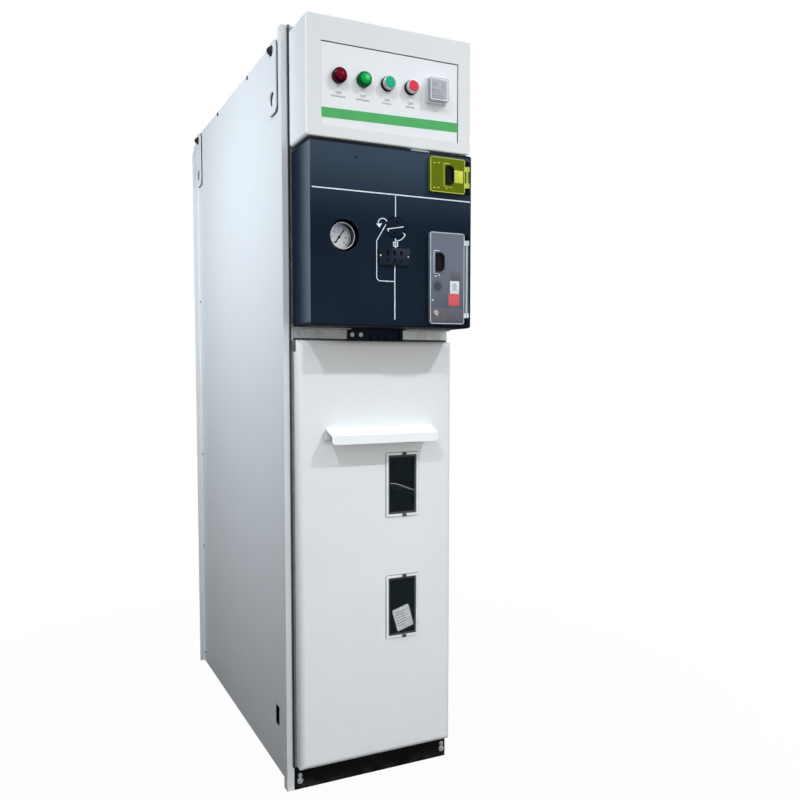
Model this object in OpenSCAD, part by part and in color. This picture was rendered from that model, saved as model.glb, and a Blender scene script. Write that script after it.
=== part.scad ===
// Indoor medium-voltage ring main unit: one load-break switch cubicle of folded sheet steel.
// Front faces -Y, +Z is up, millimetres. The origin is under the middle of the whole unit.

/* [Case] */
// Width over the two side sheets
case_w = 375; // [360:5:500]
// Depth from the front posts to the rear sheet
case_d = 840; // [700:10:1000]
// Thickness of the folded sheet steel
sheet = 2; // [1.5:0.5:3]
// Height of the black plinth rails
plinth_h = 50; // [40:1:80]
// Depth of the floor flange of a plinth rail
rail_d = 45; // [35:1:70]
// Thickness of a plinth rail
rail_t = 3; // [2:0.5:5]
// Diameter of the floor anchor holes
anchor_d = 13; // [9:1:16]
// Distance between the anchor holes across the unit
anchor_pitch = 250; // [180:10:300]
// Distance of an anchor hole from the outer face of its rail
anchor_inset = 26; // [20:1:30]
// Width of the cable opening in the floor
cable_w = 220; // [150:10:280]
// Depth of the cable opening in the floor
cable_d = 420; // [250:10:500]
// Width of the galvanised front posts
post_w = 40; // [30:1:60]
// Depth of the galvanised front posts
post_d = 30; // [20:1:50]
// Width of the strip folded outwards along the left front edge
strip_w = 14; // [8:1:30]
// Depth of the return of that strip
strip_d = 20; // [8:1:40]
// Height of the corner cut off the rear flange
flange_cut = 50; // [10:1:100]
// Width of the rubber edge seal
seal_w = 3.4; // [2:0.1:4]
// Depth of the rubber edge seal
seal_d = 4; // [2:0.5:8]
// Depth of the earth bar slot in each side
earth_slot_d = 27; // [15:1:40]
// Height of the earth bar slot in each side
earth_slot_h = 45; // [20:1:60]
// Distance of the earth bar slot behind the front
earth_slot_y = 93; // [60:1:150]
// Height of the earth bar slot above the floor
earth_slot_z = 101; // [80:1:200]
// Length of the bracket on the right wall of the cable compartment
bracket_l = 122; // [80:1:200]
// Distance of that bracket behind the front
bracket_y = 150; // [100:1:250]
// Height of that bracket's upper leg above the floor
bracket_z = 608; // [400:1:800]
// Width of that bracket's two legs
bracket_w = 14; // [8:1:25]

/* [Front panel] */
// Height of the lift-off front panel
panel_h = 912; // [800:1:1100]
// How far the front panel stands out
panel_d = 30; // [20:1:45]
// Clearance over the plinth and behind the front panel
panel_gap = 0.5; // [0.3:0.1:1]
// Gap between the front panel and the left edge of the case
panel_left = 7.4; // [5:0.1:12]
// Gap between the front panel and the right edge of the case
panel_right = 4.4; // [3:0.1:12]
// Rounding of the upright edges of the front panel
panel_edge_r = 12; // [6:1:18]
// Depth of the front panel's upper flange
panel_top_d = 15; // [10:0.5:18]
// Height that the front panel lifts to come off its hooks
panel_lift = 18; // [12:1:20]
// Clearance of the lifted front panel below the rails
lift_gap = 6; // [5:0.5:10]
// Height of a hook above the slot's lower edge
hook_h = 16; // [10:1:24]
// Thickness of a hook
hook_t = 3; // [2:0.5:5]
// Room left over a hook when the panel is lifted
hook_room = 5; // [3:0.5:10]
// Distance of the hooks from the panel's lower and upper edges
hook_inset = 110; // [60:5:200]
// Width of the handle's gap to the panel's left edge
handle_left = 60; // [40:1:90]
// Width of the handle's gap to the panel's right edge
handle_right = 54; // [40:1:90]
// Height of the handle's upper edge above the panel's lower edge
handle_z = 729; // [600:1:780]
// How far the handle stands out from the panel
handle_d = 36; // [25:1:50]
// Fall of the handle's sloping top
handle_fall = 14.5; // [6:0.5:20]
// Height of the handle's lip
handle_lip = 18.5; // [12:0.5:30]
// Rounding of the lip's lower corners
handle_r = 8; // [4:0.5:12]
// Height of the handle's flange on the panel
handle_flange = 25; // [15:0.5:40]
// Width of a window's clear opening
window_w = 69; // [50:1:90]
// Height of a window's clear opening
window_h = 130; // [90:1:160]
// Width of a window's rim
rim_w = 5; // [3:0.5:8]
// Thickness of a window's rim
rim_t = 2; // [1:0.5:4]
// Thickness of a window's pane
pane_t = 3; // [2:0.5:5]
// Margin of a pane behind its opening
pane_margin = 10; // [6:1:15]
// Distance of the windows' middle from the panel's right edge
window_x = 124; // [90:1:160]
// Height of the lower window's middle above the panel's lower edge
window_z = 329; // [250:1:400]
// Distance between the middles of the two windows
window_pitch = 271; // [220:1:320]

/* [Middle rails] */
// Height of the open gap between the front panel and the cover
middle_gap = 26; // [24:1:40]
// Length of the left galvanised angle
left_rail_l = 121; // [60:1:130]
// Width of the interlock block between the galvanised angles
block_w = 132; // [110:1:150]
// Depth of the upper leg of the galvanised angles
rail_leg = 24; // [10:1:40]
// How far the interlock block stands out
block_d = 6; // [4:0.5:8]
// Diameter of the interlock plugs
plug_d = 9; // [6:0.5:12]
// Length of the interlock plugs
plug_l = 4; // [2:0.5:5]
// Distance between the interlock plugs
plug_pitch = 20; // [14:0.5:25]
// Height of a prong of the interlock fork
fork_h = 13; // [8:0.5:16]

/* [Mechanism cover] */
// Height of the mechanism cover
cover_h = 362.5; // [340:0.5:420]
// How far the mechanism cover stands out
cover_d = 106.5; // [95:0.5:130]
// Wall of the mechanism cover
cover_t = 2.5; // [2:0.5:4]
// Gap between the cover and the left edge of the case
cover_left = 6.6; // [5:0.1:12]
// Gap between the cover and the right edge of the case
cover_right = 2.7; // [2:0.1:12]
// Rounding of the cover's corners seen from the front
cover_corner_r = 9; // [4:0.5:14]
// Rounding of the cover's front edges
cover_edge_r = 4; // [2:0.5:6]

/* [Gauge] */
// Distance of the gauge from the cover's left edge
gauge_x = 72.5; // [60:0.5:90]
// Height of the gauge above the cover's lower edge
gauge_z = 178.5; // [150:0.5:220]
// Diameter of the gauge's rim
gauge_d = 60; // [50:1:64]
// Clearance round the gauge in its hole
gauge_gap = 1.5; // [0.5:0.1:3]
// Recess of the gauge's rim behind the cover's face
gauge_recess = 9; // [4:0.5:20]
// Length of the gauge's case
gauge_l = 34; // [24:1:50]
// Width of the gauge's rim
gauge_rim = 3.5; // [2:0.5:6]
// Depth of the dial below the rim's face
dial_depth = 22; // [8:0.5:23]
// Thickness of the dial and of the gauge's glass
dial_t = 1.2; // [0.8:0.1:2]
// Diameter of the stem that carries the gauge
stem_d = 16; // [10:1:24]
// Length of the gauge's needle from its pivot
needle_l = 20; // [14:0.5:23]
// Width of the gauge's needle at its pivot
needle_w = 2.4; // [1.5:0.1:4]
// Length of the needle's tail behind its pivot
needle_tail = 12.5; // [6:0.5:16]
// Diameter of the weight at the end of the tail
weight_d = 3.6; // [3:0.1:6]
// Turn of the gauge's needle from upright, clockwise
needle_turn = 34; // [-130:1:130]

/* [Position indicator] */
// Distance of the indicator to the right of the middle between gauge and lids
indicator_x = 18.5; // [0:0.5:30]
// Height of the indicator above the cover's lower edge
indicator_z = 201; // [180:0.5:230]
// Diameter of the indicator disc
indicator_d = 40; // [36:1:56]
// Clearance round the disc in its hole
indicator_gap = 1; // [0.6:0.1:2]
// Thickness of the indicator disc
indicator_t = 4; // [3:0.5:8]
// How far the disc stands out of the cover
indicator_proud = 0.8; // [0.2:0.1:3]
// Diameter of the indicator's shaft
shaft_d = 12; // [8:0.5:16]
// Radial clearance of the shaft in its bearing
shaft_gap = 0.05; // [0.03:0.01:0.1]
// Length of the shaft's bearing
bearing_l = 22; // [12:1:40]
// Wall of the shaft's bearing
bearing_wall = 7; // [4:0.5:10]
// Width of the voltage indicator plate
voltage_w = 70; // [60:1:76]
// Height of the voltage indicator plate
voltage_h = 35; // [32:0.5:40]
// Thickness of the voltage indicator plate
voltage_t = 4.5; // [4:0.5:12]
// Rounding of that plate's corners
voltage_r = 2; // [1:0.5:4]
// Distance of that plate's middle to the left of the indicator's axis
voltage_left = 4; // [-8:0.5:8]
// Distance of that plate's middle below the indicator's middle
voltage_drop = 59.5; // [54:0.5:70]
// Diameter of a test socket and width of a lamp slot
socket_d = 4.5; // [3:0.5:6]
// Height of a lamp slot
slot_h = 9; // [6.5:0.5:12]
// Depth of the sockets and slots
socket_depth = 3; // [2:0.5:3.5]
// Distance between test sockets across
socket_pitch_x = 15; // [12:0.5:20]
// Distance of the slots above the sockets
socket_pitch_z = 14.5; // [12:0.5:16]

/* [Lids] */
// Distance of the hinge leaves from the cover's right edge
leaf_edge = 4.6; // [4:0.1:10]
// Height of the upper lid
upper_lid_h = 71; // [60:0.5:90]
// Distance of the upper lid's top from the cover's top
upper_lid_top = 12.5; // [8:0.5:30]
// Width of the upper lid
upper_lid_w = 82; // [76:0.5:86]
// Height of the lower lid
lower_lid_h = 189; // [150:0.5:200]
// Height of the lower lid above the cover's lower edge
lower_lid_z = 8; // [6:0.5:14]
// Width of the lower lid
lower_lid_w = 82; // [70:0.5:84]
// Depth of the lids
lid_d = 9; // [8:0.5:14]
// Wall of the lids
lid_t = 2.5; // [2:0.1:3.5]
// Gap between a closed lid and the cover
lid_gap = 0.5; // [0.3:0.1:1]
// Rounding of the lids' corners
lid_r = 4; // [2:0.5:8]
// Diameter of the hinge pins
pin_d = 3.2; // [2:0.1:4]
// Radial clearance of a lid on its pin
pin_gap = 0.05; // [0.03:0.01:0.1]
// Diameter of the hinge knuckles
knuckle_d = 7.2; // [6:0.1:8]
// Length of a fixed hinge knuckle
knuckle_l = 11; // [8:0.5:14]
// Play along the pin between knuckles
knuckle_play = 0.5; // [0.3:0.1:1]
// Distance of the outer knuckles from the lid's ends
knuckle_inset = 2; // [1:0.5:6]
// Distance of the hinge axis from the lid's right edge
hinge_x = 9.4; // [5:0.1:11]
// Width of the fixed hinge leaf
leaf_w = 9; // [7:0.5:9.5]
// Thickness of the fixed hinge leaf
leaf_t = 2; // [1:0.2:2.6]
// Width of the upper latch
upper_latch_w = 17.5; // [14:0.5:24]
// Height of the upper latch
upper_latch_h = 38; // [28:0.5:44]
// Distance of the upper latch's middle from the lid's left edge
upper_latch_x = 44; // [40:0.5:55]
// Height of the upper latch's middle above the lid's lower edge
upper_latch_z = 35.5; // [32:0.5:40]
// Width of the lower latch
lower_latch_w = 18.5; // [14:0.5:22]
// Height of the lower latch
lower_latch_h = 38.5; // [28:0.5:60]
// Distance of the lower latch's middle from the lid's left edge
lower_latch_x = 21.5; // [18:0.5:55]
// Height of the lower latch's middle above the lid's lower edge
lower_latch_z = 127; // [60:0.5:150]
// How far the latches stand out of their lids
latch_t = 6; // [4:0.5:10]
// Depth of the finger hollow in a latch
latch_hollow = 2.5; // [1:0.5:3]
// Width of the rim round a latch's finger hollow
latch_rim = 3; // [2:0.5:5]
// Width of the frame beside a latch
frame_w = 5; // [2:0.5:6]
// Height of the frame beside a latch
frame_t = 1.5; // [1:0.5:3]

/* [Instrument box] */
// Height of the instrument box
box_h = 232; // [215:1:300]
// How far the instrument box stands out
box_d = 100; // [80:1:125]
// Gap between the instrument box and the left edge of the case
box_left = 2.3; // [2:0.1:8]
// Gap between the instrument box and the right edge of the case
box_right = 3.5; // [2:0.1:12]
// Gap between the cover and the instrument box
box_gap = 3.5; // [1:0.5:8]
// Distance of the instrument box's top below the case's top
box_drop = 11; // [4:1:30]
// Rounding of the instrument box's folds
box_edge_r = 3; // [2.5:0.5:6]
// Rounding of the instrument box's corners seen from the front
box_corner_r = 7; // [3:0.5:12]
// Frame beside the inset plate on the left
inset_left = 31; // [20:1:40]
// Frame beside the inset plate on the right
inset_right = 29.5; // [20:0.5:40]
// Frame above the inset plate
inset_top = 49; // [30:1:60]
// Frame below the inset plate
inset_bottom = 21; // [15:1:40]
// Gap round the inset plate
inset_gap = 1.2; // [0.5:0.1:2]
// Recess of the inset plate
inset_recess = 1; // [0.5:0.1:2]
// Thickness of the inset plate
inset_t = 3; // [2:0.5:5]
// Width of the ledge behind the inset plate
ledge_w = 8; // [5:0.5:12]
// Distance of the first lamp from the inset plate's left edge
lamp_x = 37; // [25:0.5:45]
// Height of the lamps and buttons above the inset plate's lower edge
lamp_z = 98; // [80:0.5:110]
// Diameter of the black lamp and button collars
collar_d = 28.5; // [26:0.5:34]
// Thickness of the collars
collar_t = 7; // [4:0.5:9]
// Diameter of a lamp lens
lens_d = 26; // [20:0.5:28]
// Straight height of a lamp lens
lens_h = 7; // [5:0.5:12]
// Height of a lamp lens's dome
dome_h = 4; // [3:0.5:7]
// Diameter of the silver button bezels
bezel_d = 26.5; // [26:0.5:28]
// Rounding of a bezel's front edge
bezel_r = 2; // [1:0.5:2.5]
// Thickness of a bezel's floor
bezel_floor = 1; // [0.5:0.5:2]
// Diameter of a button cap
cap_d = 21.5; // [16:0.5:23]
// Clearance round and under a button cap
cap_gap = 0.4; // [0.2:0.05:0.6]
// Depth of a button cap inside its bezel
cap_skirt = 3; // [2:0.5:5]
// How far a button cap stands out of its bezel
cap_proud = 1.5; // [1:0.5:6]
// Broken edge of a button cap
cap_edge = 0.8; // [0.4:0.1:1]
// Travel of a button cap
cap_travel = 4; // [2:0.5:5]
// Gap between the last button's middle and the meter
meter_gap = 34; // [25:0.5:40]
// Gap between the meter and the inset plate's right edge
meter_right = 30.5; // [15:0.5:40]
// Width of the meter
meter_w = 48; // [36:0.5:50]
// Height of the meter
meter_h = 50.5; // [36:0.5:60]
// Height of the meter's middle above the lamps' middle
meter_rise = 0.5; // [-5:0.5:10]
// Thickness of the meter's base
meter_t = 8; // [5:0.5:12]
// Depth of the meter's clear cover
meter_cover_d = 10; // [5:0.5:14]
// Wall of the meter's clear cover
meter_cover_t = 2; // [1.5:0.5:3]
// Step between the meter's base and its clear cover
meter_step = 2.5; // [1:0.5:5]

/* [Lifting lugs] */
// Width of a lifting lug
lug_w = 54; // [46:1:70]
// Length of a lifting lug
lug_l = 150; // [110:1:180]
// Thickness of a lifting lug
lug_t = 4; // [3:0.5:8]
// Diameter of a lug's lifting hole
lug_hole_d = 30; // [20:1:34]
// Distance of the lifting hole from the lug's lower end
lug_hole_z = 32; // [26:1:40]
// Stand-off washer between a lug and its side sheet
lug_washer_t = 2; // [1:0.5:4]
// Diameter of that washer
lug_washer_d = 28; // [20:1:36]
// Distance of a lug's bolt below the case's top
lug_bolt_z = 20; // [18:1:40]
// Distance of the front lugs' middle behind the front
lug_front = 88; // [60:1:120]
// Distance of the rear lugs' middle before the rear
lug_rear = 42; // [30:1:80]

/* [Hidden] */
$fn = 72;

// Length by which a cutting shape passes the face that it cuts
past = 1;

// Heights, stacked from the floor up
floor_top = plinth_h + sheet;
panel_z0 = floor_top + panel_gap;
panel_z1 = panel_z0 + panel_h;
cover_z0 = panel_z1 + middle_gap;
cover_z1 = cover_z0 + cover_h;
box_z0 = cover_z1 + box_gap;
box_z1 = box_z0 + box_h;
case_h = box_z1 + box_drop;
under_roof = case_h - sheet;
bulkhead_z0 = panel_z1 + 2 * panel_gap;

// Places across the front
inner_x0 = sheet;
inner_x1 = case_w - sheet;
panel_x0 = panel_left;
panel_x1 = case_w - panel_right;
cover_x0 = cover_left;
cover_x1 = case_w - cover_right;
box_x0 = box_left;
box_x1 = case_w - box_right;

// Faces counted backwards from the front of the posts
panel_y = -panel_d;
cover_y = -cover_d;
box_y = -box_d;
inset_y = box_y + inset_recess;
lid_back_y = cover_y - lid_gap;
lid_y = lid_back_y - lid_d;
hinge_y = cover_y - leaf_t - knuckle_d / 2 - lid_gap;

// Middle of the whole unit
mid_x = (case_w + lug_washer_t + lug_t - strip_w) / 2;
mid_y = (case_d + lid_y - latch_t) / 2;

// Places on the inset plate
inset_x0 = box_x0 + inset_left;
inset_x1 = box_x1 - inset_right;
inset_z0 = box_z0 + inset_bottom;
inset_z1 = box_z1 - inset_top;
control_z = inset_z0 + lamp_z;
meter_x0 = inset_x1 - meter_right - meter_w;
lamp_pitch = (meter_x0 - meter_gap - inset_x0 - lamp_x) / 3;
bezel_h = bezel_floor + cap_gap + cap_travel + cap_skirt;
meter_z0 = control_z + meter_rise - meter_h / 2;

// Right and lower edges of the lids, counted from their hinges
lid_x1 = cover_x1 - leaf_edge - leaf_w - hinge_x;
upper_lid_z0 = cover_z1 - upper_lid_top - upper_lid_h;
lower_lid_z0 = cover_z0 + lower_lid_z;

// Middles of the round pieces in the cover, X and Z
gauge_mid = [cover_x0 + gauge_x, cover_z0 + gauge_z];
indicator_mid = [(gauge_mid.x + lid_x1 - lower_lid_w) / 2 + indicator_x, cover_z0 + indicator_z];

module placed() {
    translate([-mid_x, -mid_y, 0]) children();
}

// Block between two opposite corners
module block(low, high) {
    translate(low) cube(high - low);
}

// Outline in X and Z carried forwards by t from the plane y_back
module forwards(y_back, t) {
    translate([0, y_back, 0]) rotate([90, 0, 0]) linear_extrude(t) children();
}

// Outline in Y and Z carried to the right by w from the plane x
module rightwards(x, w) {
    translate([x, 0, 0]) rotate([90, 0, 90]) linear_extrude(w) children();
}

// Outline in X and Y carried up by h from the height z
module upwards(z, h) {
    translate([0, 0, z]) linear_extrude(h) children();
}

// Round bar along Y, forwards by l from y_back
module bar_y(x, y_back, z, d, l) {
    translate([x, y_back, z]) rotate([90, 0, 0]) cylinder(d = d, h = l);
}

// Rectangle with four round corners
module round_rect(low, high, r) {
    translate([low.x + r, low.y]) square([high.x - low.x - 2 * r, high.y - low.y]);
    translate([low.x, low.y + r]) square([high.x - low.x, high.y - low.y - 2 * r]);
    for (a = [low.x + r, high.x - r], b = [low.y + r, high.y - r])
        translate([a, b]) circle(r);
}

// Block with folded front edges: upright and level edges rounded by edge_r, front corners by corner_r
module folded_block(low, high, edge_r, corner_r) {
    deep = [low.y, high.y + edge_r + past];
    intersection() {
        forwards(high.y, high.y - low.y + past)
            round_rect([low.x, low.z], [high.x, high.z], corner_r);
        upwards(low.z - past, high.z - low.z + 2 * past)
            round_rect([low.x, deep[0]], [high.x, deep[1]], edge_r);
        rightwards(low.x - past, high.x - low.x + 2 * past)
            round_rect([deep[0], low.z], [deep[1], high.z], edge_r);
    }
}

// Side sheet from the floor to the roof with its earth bar slot
module side_sheet(x) {
    difference() {
        block([x, 0, 0], [x + sheet, case_d, case_h]);
        block([x - past, earth_slot_y, earth_slot_z],
              [x + sheet + past, earth_slot_y + earth_slot_d, earth_slot_z + earth_slot_h]);
    }
}

module left_end_panel() color("gainsboro") placed() {
    side_sheet(0);
    block([-strip_w, 0, 0], [0, sheet, case_h]);
    block([-strip_w, sheet, 0], [-strip_w + sheet, strip_d, case_h]);
    forwards(case_d, sheet)
        polygon([[0, 0], [0, case_h], [-strip_w, case_h - flange_cut], [-strip_w, 0]]);
}

module right_side_panel() color("gainsboro") placed() side_sheet(case_w - sheet);

module rear_panel() color("gainsboro") placed()
    block([inner_x0, case_d - sheet, floor_top], [inner_x1, case_d, under_roof]);

module roof_panel() color("gainsboro") placed()
    block([inner_x0, 0, under_roof], [inner_x1, case_d, case_h]);

module floor_plate() color("silver") placed() difference() {
    block([inner_x0, 0, plinth_h], [inner_x1, case_d, floor_top]);
    block([(case_w - cable_w) / 2, (case_d - cable_d) / 2, plinth_h - past],
          [(case_w + cable_w) / 2, (case_d + cable_d) / 2, floor_top + past]);
}

// Angle rail on the floor; turned is 1 for the front rail and -1 for the rear one
module plinth_rail(y, turned) {
    translate([0, y, 0]) mirror([0, turned < 0 ? 1 : 0, 0]) difference() {
        union() {
            block([inner_x0, 0, 0], [inner_x1, rail_t, plinth_h]);
            block([inner_x0, 0, 0], [inner_x1, rail_d, rail_t]);
        }
        for (side = [-1, 1])
            translate([(case_w + side * anchor_pitch) / 2, anchor_inset, -past])
                cylinder(d = anchor_d, h = rail_t + 2 * past);
    }
}

module plinth_front() color("black") placed() plinth_rail(0, 1);

module plinth_rear() color("black") placed() plinth_rail(case_d, -1);

// Channel post with a hook slot near each end of the front panel
module front_post(x) {
    difference() {
        upwards(floor_top, under_roof - floor_top) translate([x, 0]) {
            square([post_w, sheet]);
            square([sheet, post_d]);
            translate([post_w - sheet, 0]) square([sheet, post_d]);
        }
        for (z = hook_heights)
            block([hook_middle(x) - hook_t, -past, z - panel_gap],
                  [hook_middle(x) + hook_t, sheet + past, z + hook_h + panel_lift + hook_room]);
    }
}

hook_heights = [panel_z0 + hook_inset, panel_z1 - hook_inset];

// A hook lies inside its own edge of the front panel
function hook_middle(x) = x < case_w / 2
    ? panel_x0 + panel_edge_r + hook_t : panel_x1 - panel_edge_r - hook_t;

module front_post_left() color("silver") placed() front_post(inner_x0);

module front_post_right() color("silver") placed() front_post(inner_x1 - post_w);

module edge_seal() color("black") placed()
    block([sheet - seal_w, -seal_d, floor_top], [sheet, 0, case_h]);

// Sheet behind the cover and the instrument box, with the bearing of the indicator's shaft
module front_bulkhead() color("silver") placed() difference() {
    union() {
        block([inner_x0 + post_w, 0, bulkhead_z0], [inner_x1 - post_w, sheet, under_roof]);
        block([inner_x0 + post_w, 0, bulkhead_z0], [inner_x1 - post_w, post_d, bulkhead_z0 + sheet]);
        bar_y(indicator_mid.x, sheet, indicator_mid.y, shaft_d + 2 * bearing_wall, bearing_l + sheet);
    }
    bar_y(indicator_mid.x, sheet + past, indicator_mid.y,
          shaft_d + 2 * shaft_gap, bearing_l + sheet + 2 * past);
}

module compartment_ceiling() color("silver") placed()
    block([inner_x0, post_d, bulkhead_z0], [inner_x1, case_d - sheet, bulkhead_z0 + sheet]);

// Small angle on the right inner wall, level leg uppermost
module cable_bracket() color("silver") placed() {
    block([inner_x1 - bracket_w, bracket_y, bracket_z - sheet], [inner_x1, bracket_y + bracket_l, bracket_z]);
    block([inner_x1 - sheet, bracket_y, bracket_z - bracket_w], [inner_x1, bracket_y + bracket_l, bracket_z]);
}

// Galvanised angle in the gap under the cover
module middle_rail(x, l) {
    rightwards(x, l) {
        translate([-sheet, bulkhead_z0]) square([sheet, cover_z0 - bulkhead_z0]);
        translate([-rail_leg, cover_z0 - sheet]) square([rail_leg, sheet]);
    }
}

module middle_rail_left() color("silver") placed() middle_rail(panel_x0, left_rail_l);

module middle_rail_right() color("silver") placed() middle_rail(block_x1, panel_x1 - block_x1);

block_x0 = panel_x0 + left_rail_l;
block_x1 = block_x0 + block_w;
plug_x = block_x0 + plug_d;
plug_z = bulkhead_z0 + (cover_z0 - bulkhead_z0) / 2;
fork_x = plug_x + plug_pitch + 2 * plug_d;

// Black block between the rails with an open fork in its middle
module interlock_block() color("black") placed() {
    difference() {
        block([block_x0, -block_d, bulkhead_z0], [block_x1, 0, cover_z0]);
        block([fork_x, -block_d - past, bulkhead_z0 - past],
              [block_x1 - plug_d, -sheet, cover_z0 - sheet]);
    }
    for (i = [0:2])
        block([fork_x + (2 * i + 1) * plug_d, -block_d, bulkhead_z0],
              [fork_x + (2 * i + 1.5) * plug_d, -sheet, bulkhead_z0 + fork_h]);
}

module interlock_plugs() color("white") placed()
    for (i = [0, 1])
        bar_y(plug_x + i * plug_pitch, -block_d, plug_z, plug_d, plug_l);

window_mid_x = panel_x1 - window_x;
window_heights = [panel_z0 + window_z, panel_z0 + window_z + window_pitch];

// Clear opening of a window, widened by grow
module window_outline(z, grow) {
    translate([window_mid_x - window_w / 2 - grow, z - window_h / 2 - grow])
        square([window_w + 2 * grow, window_h + 2 * grow]);
}

// Folded pan with two windows, four hooks that hang it on the posts and, at its top, flanges cut
// short so that it lifts past the pieces in the gap
module front_panel() color("whitesmoke") placed() {
    difference() {
        folded_block([panel_x0, panel_y, panel_z0], [panel_x1, -panel_gap, panel_z1], panel_edge_r, panel_gap);
        folded_block([panel_x0 + sheet, panel_y + sheet, panel_z0 + sheet],
                     [panel_x1 - sheet, past, panel_z1 - sheet], panel_edge_r - sheet, panel_gap);
        for (z = window_heights)
            forwards(0, panel_d + past) window_outline(z, 0);
        block([panel_x0 - past, panel_y + panel_top_d, panel_z1 - panel_lift - lift_gap],
              [panel_x1 + past, past, panel_z1 + past]);
    }
    for (x = [panel_x0, panel_x1], z = hook_heights)
        rightwards(hook_middle(x) - hook_t / 2, hook_t)
            polygon([[panel_y + sheet, z], [sheet + panel_gap, z], [sheet + panel_gap, z - hook_h / 2],
                     [2 * sheet + panel_gap, z - hook_h / 2], [2 * sheet + panel_gap, z + hook_h],
                     [panel_y + sheet, z + hook_h]]);
}

// Bent sheet across the panel: flange on the panel, sloping top and upright lip
module panel_handle() color("white") placed() {
    top = panel_z0 + handle_z;
    bend = top - handle_fall;
    x0 = panel_x0 + handle_left;
    x1 = panel_x1 - handle_right;
    intersection() {
        rightwards(x0, x1 - x0)
            polygon([[panel_y, top], [panel_y - handle_d, bend], [panel_y - handle_d, bend - handle_lip],
                     [panel_y - handle_d + sheet, bend - handle_lip],
                     [panel_y - handle_d + sheet, bend - sheet], [panel_y - sheet, top - 2 * sheet],
                     [panel_y - sheet, top - handle_flange], [panel_y, top - handle_flange]]);
        forwards(panel_y + past, handle_d + 2 * past)
            round_rect([x0, bend - handle_lip], [x1, top + handle_r], handle_r);
    }
}

module window_rims() color("gray") placed()
    for (z = window_heights)
        forwards(panel_y, rim_t) difference() {
            window_outline(z, rim_w);
            window_outline(z, 0);
        }

module window_panes() color([0.1, 0.12, 0.12, 0.5]) placed()
    for (z = window_heights)
        forwards(panel_y + sheet + pane_t, pane_t) window_outline(z, pane_margin);

// Deep black pan over the mechanism, open where the gauge and the indicator look out
module mechanism_cover() color("#1b242f") placed() difference() {
    folded_block([cover_x0, cover_y, cover_z0], [cover_x1, 0, cover_z1], cover_edge_r, cover_corner_r);
    block([cover_x0 + cover_t, cover_y + cover_t, cover_z0 + cover_t],
          [cover_x1 - cover_t, past, cover_z1 - cover_t]);
    bar_y(gauge_mid.x, 0, gauge_mid.y, gauge_d + 2 * gauge_gap, cover_d + past);
    bar_y(indicator_mid.x, 0, indicator_mid.y, indicator_d + 2 * indicator_gap, cover_d + past);
}

gauge_y = cover_y + gauge_recess;
dial_y = gauge_y + dial_depth;

// Turned round the gauge's axis: radius outwards, depth behind the rim's face upwards
module turned_on_gauge() {
    translate([gauge_mid.x, gauge_y, gauge_mid.y]) rotate([-90, 0, 0]) rotate_extrude() children();
}

module gauge_case() color("silver") placed() turned_on_gauge()
    polygon([[0, dial_depth], [gauge_d / 2 - gauge_rim, dial_depth], [gauge_d / 2 - gauge_rim, 0],
             [gauge_d / 2, 0], [gauge_d / 2, gauge_l], [stem_d / 2, gauge_l],
             [stem_d / 2, -gauge_y], [0, -gauge_y]]);

module gauge_dial() color("white") placed()
    bar_y(gauge_mid.x, dial_y, gauge_mid.y, gauge_d - 2 * gauge_rim, dial_t);

// Pointed needle with a weighted tail, on a round hub that stands on the dial
module gauge_needle() color("black") placed() {
    bar_y(gauge_mid.x, dial_y - dial_t, gauge_mid.y, 2 * needle_w, 2 * dial_t);
    translate([gauge_mid.x, dial_y - dial_t, gauge_mid.y]) rotate([0, needle_turn, 0])
        forwards(0, dial_t) {
            polygon([[-needle_w / 2, -needle_tail], [needle_w / 2, -needle_tail],
                     [needle_w / 2, 0], [0, needle_l], [-needle_w / 2, 0]]);
            translate([0, -needle_tail]) circle(d = weight_d);
        }
}

module gauge_glass() color([0.9, 0.95, 1, 0.3]) placed()
    bar_y(gauge_mid.x, gauge_y + 2 * dial_t, gauge_mid.y, gauge_d - 2 * gauge_rim, dial_t);

// Disc in the cover on a shaft that runs in the bulkhead's bearing
module position_indicator() color("black") placed() {
    front = cover_y - indicator_proud;
    bar_y(indicator_mid.x, front + indicator_t, indicator_mid.y, indicator_d, indicator_t);
    bar_y(indicator_mid.x, 2 * sheet, indicator_mid.y, shaft_d, 2 * sheet - front);
}

// Plate under the indicator with three test sockets and a lamp slot above each
module voltage_indicator() color("black") placed() {
    mid = indicator_mid - [voltage_left, voltage_drop];
    half = [voltage_w, voltage_h] / 2;
    bottom_y = cover_y - voltage_t + socket_depth;
    slot_half = [socket_d, slot_h] / 2;
    difference() {
        forwards(cover_y, voltage_t) round_rect(mid - half, mid + half, voltage_r);
        for (i = [-1:1]) {
            socket = mid + [i * socket_pitch_x, -socket_pitch_z / 2];
            slot = socket + [0, socket_pitch_z];
            bar_y(socket.x, bottom_y, socket.y, socket_d, socket_depth + past);
            forwards(bottom_y, socket_depth + past)
                round_rect(slot - slot_half, slot + slot_half, socket_d / 3);
        }
    }
}

// Tray lid with a long knuckle on its right edge x1
module lid(x1, z, w, h) {
    x0 = x1 - w;
    knuckle_from = z + knuckle_inset + knuckle_l + knuckle_play;
    knuckle_to = z + h - knuckle_inset - knuckle_l - knuckle_play;
    difference() {
        union() {
            difference() {
                forwards(lid_back_y, lid_d) round_rect([x0, z], [x1, z + h], lid_r);
                block([x0 + lid_t, lid_y + lid_t, z + lid_t], [x1 - lid_t, lid_back_y + past, z + h - lid_t]);
            }
            upwards(knuckle_from, knuckle_to - knuckle_from) {
                translate([x1 + hinge_x, hinge_y]) circle(d = knuckle_d);
                translate([x1 - lid_t, hinge_y - lid_t / 2]) square([hinge_x + lid_t, lid_t]);
            }
        }
        translate([x1 + hinge_x, hinge_y, knuckle_from - past])
            cylinder(d = pin_d + 2 * pin_gap, h = knuckle_to - knuckle_from + 2 * past);
    }
}

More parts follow.
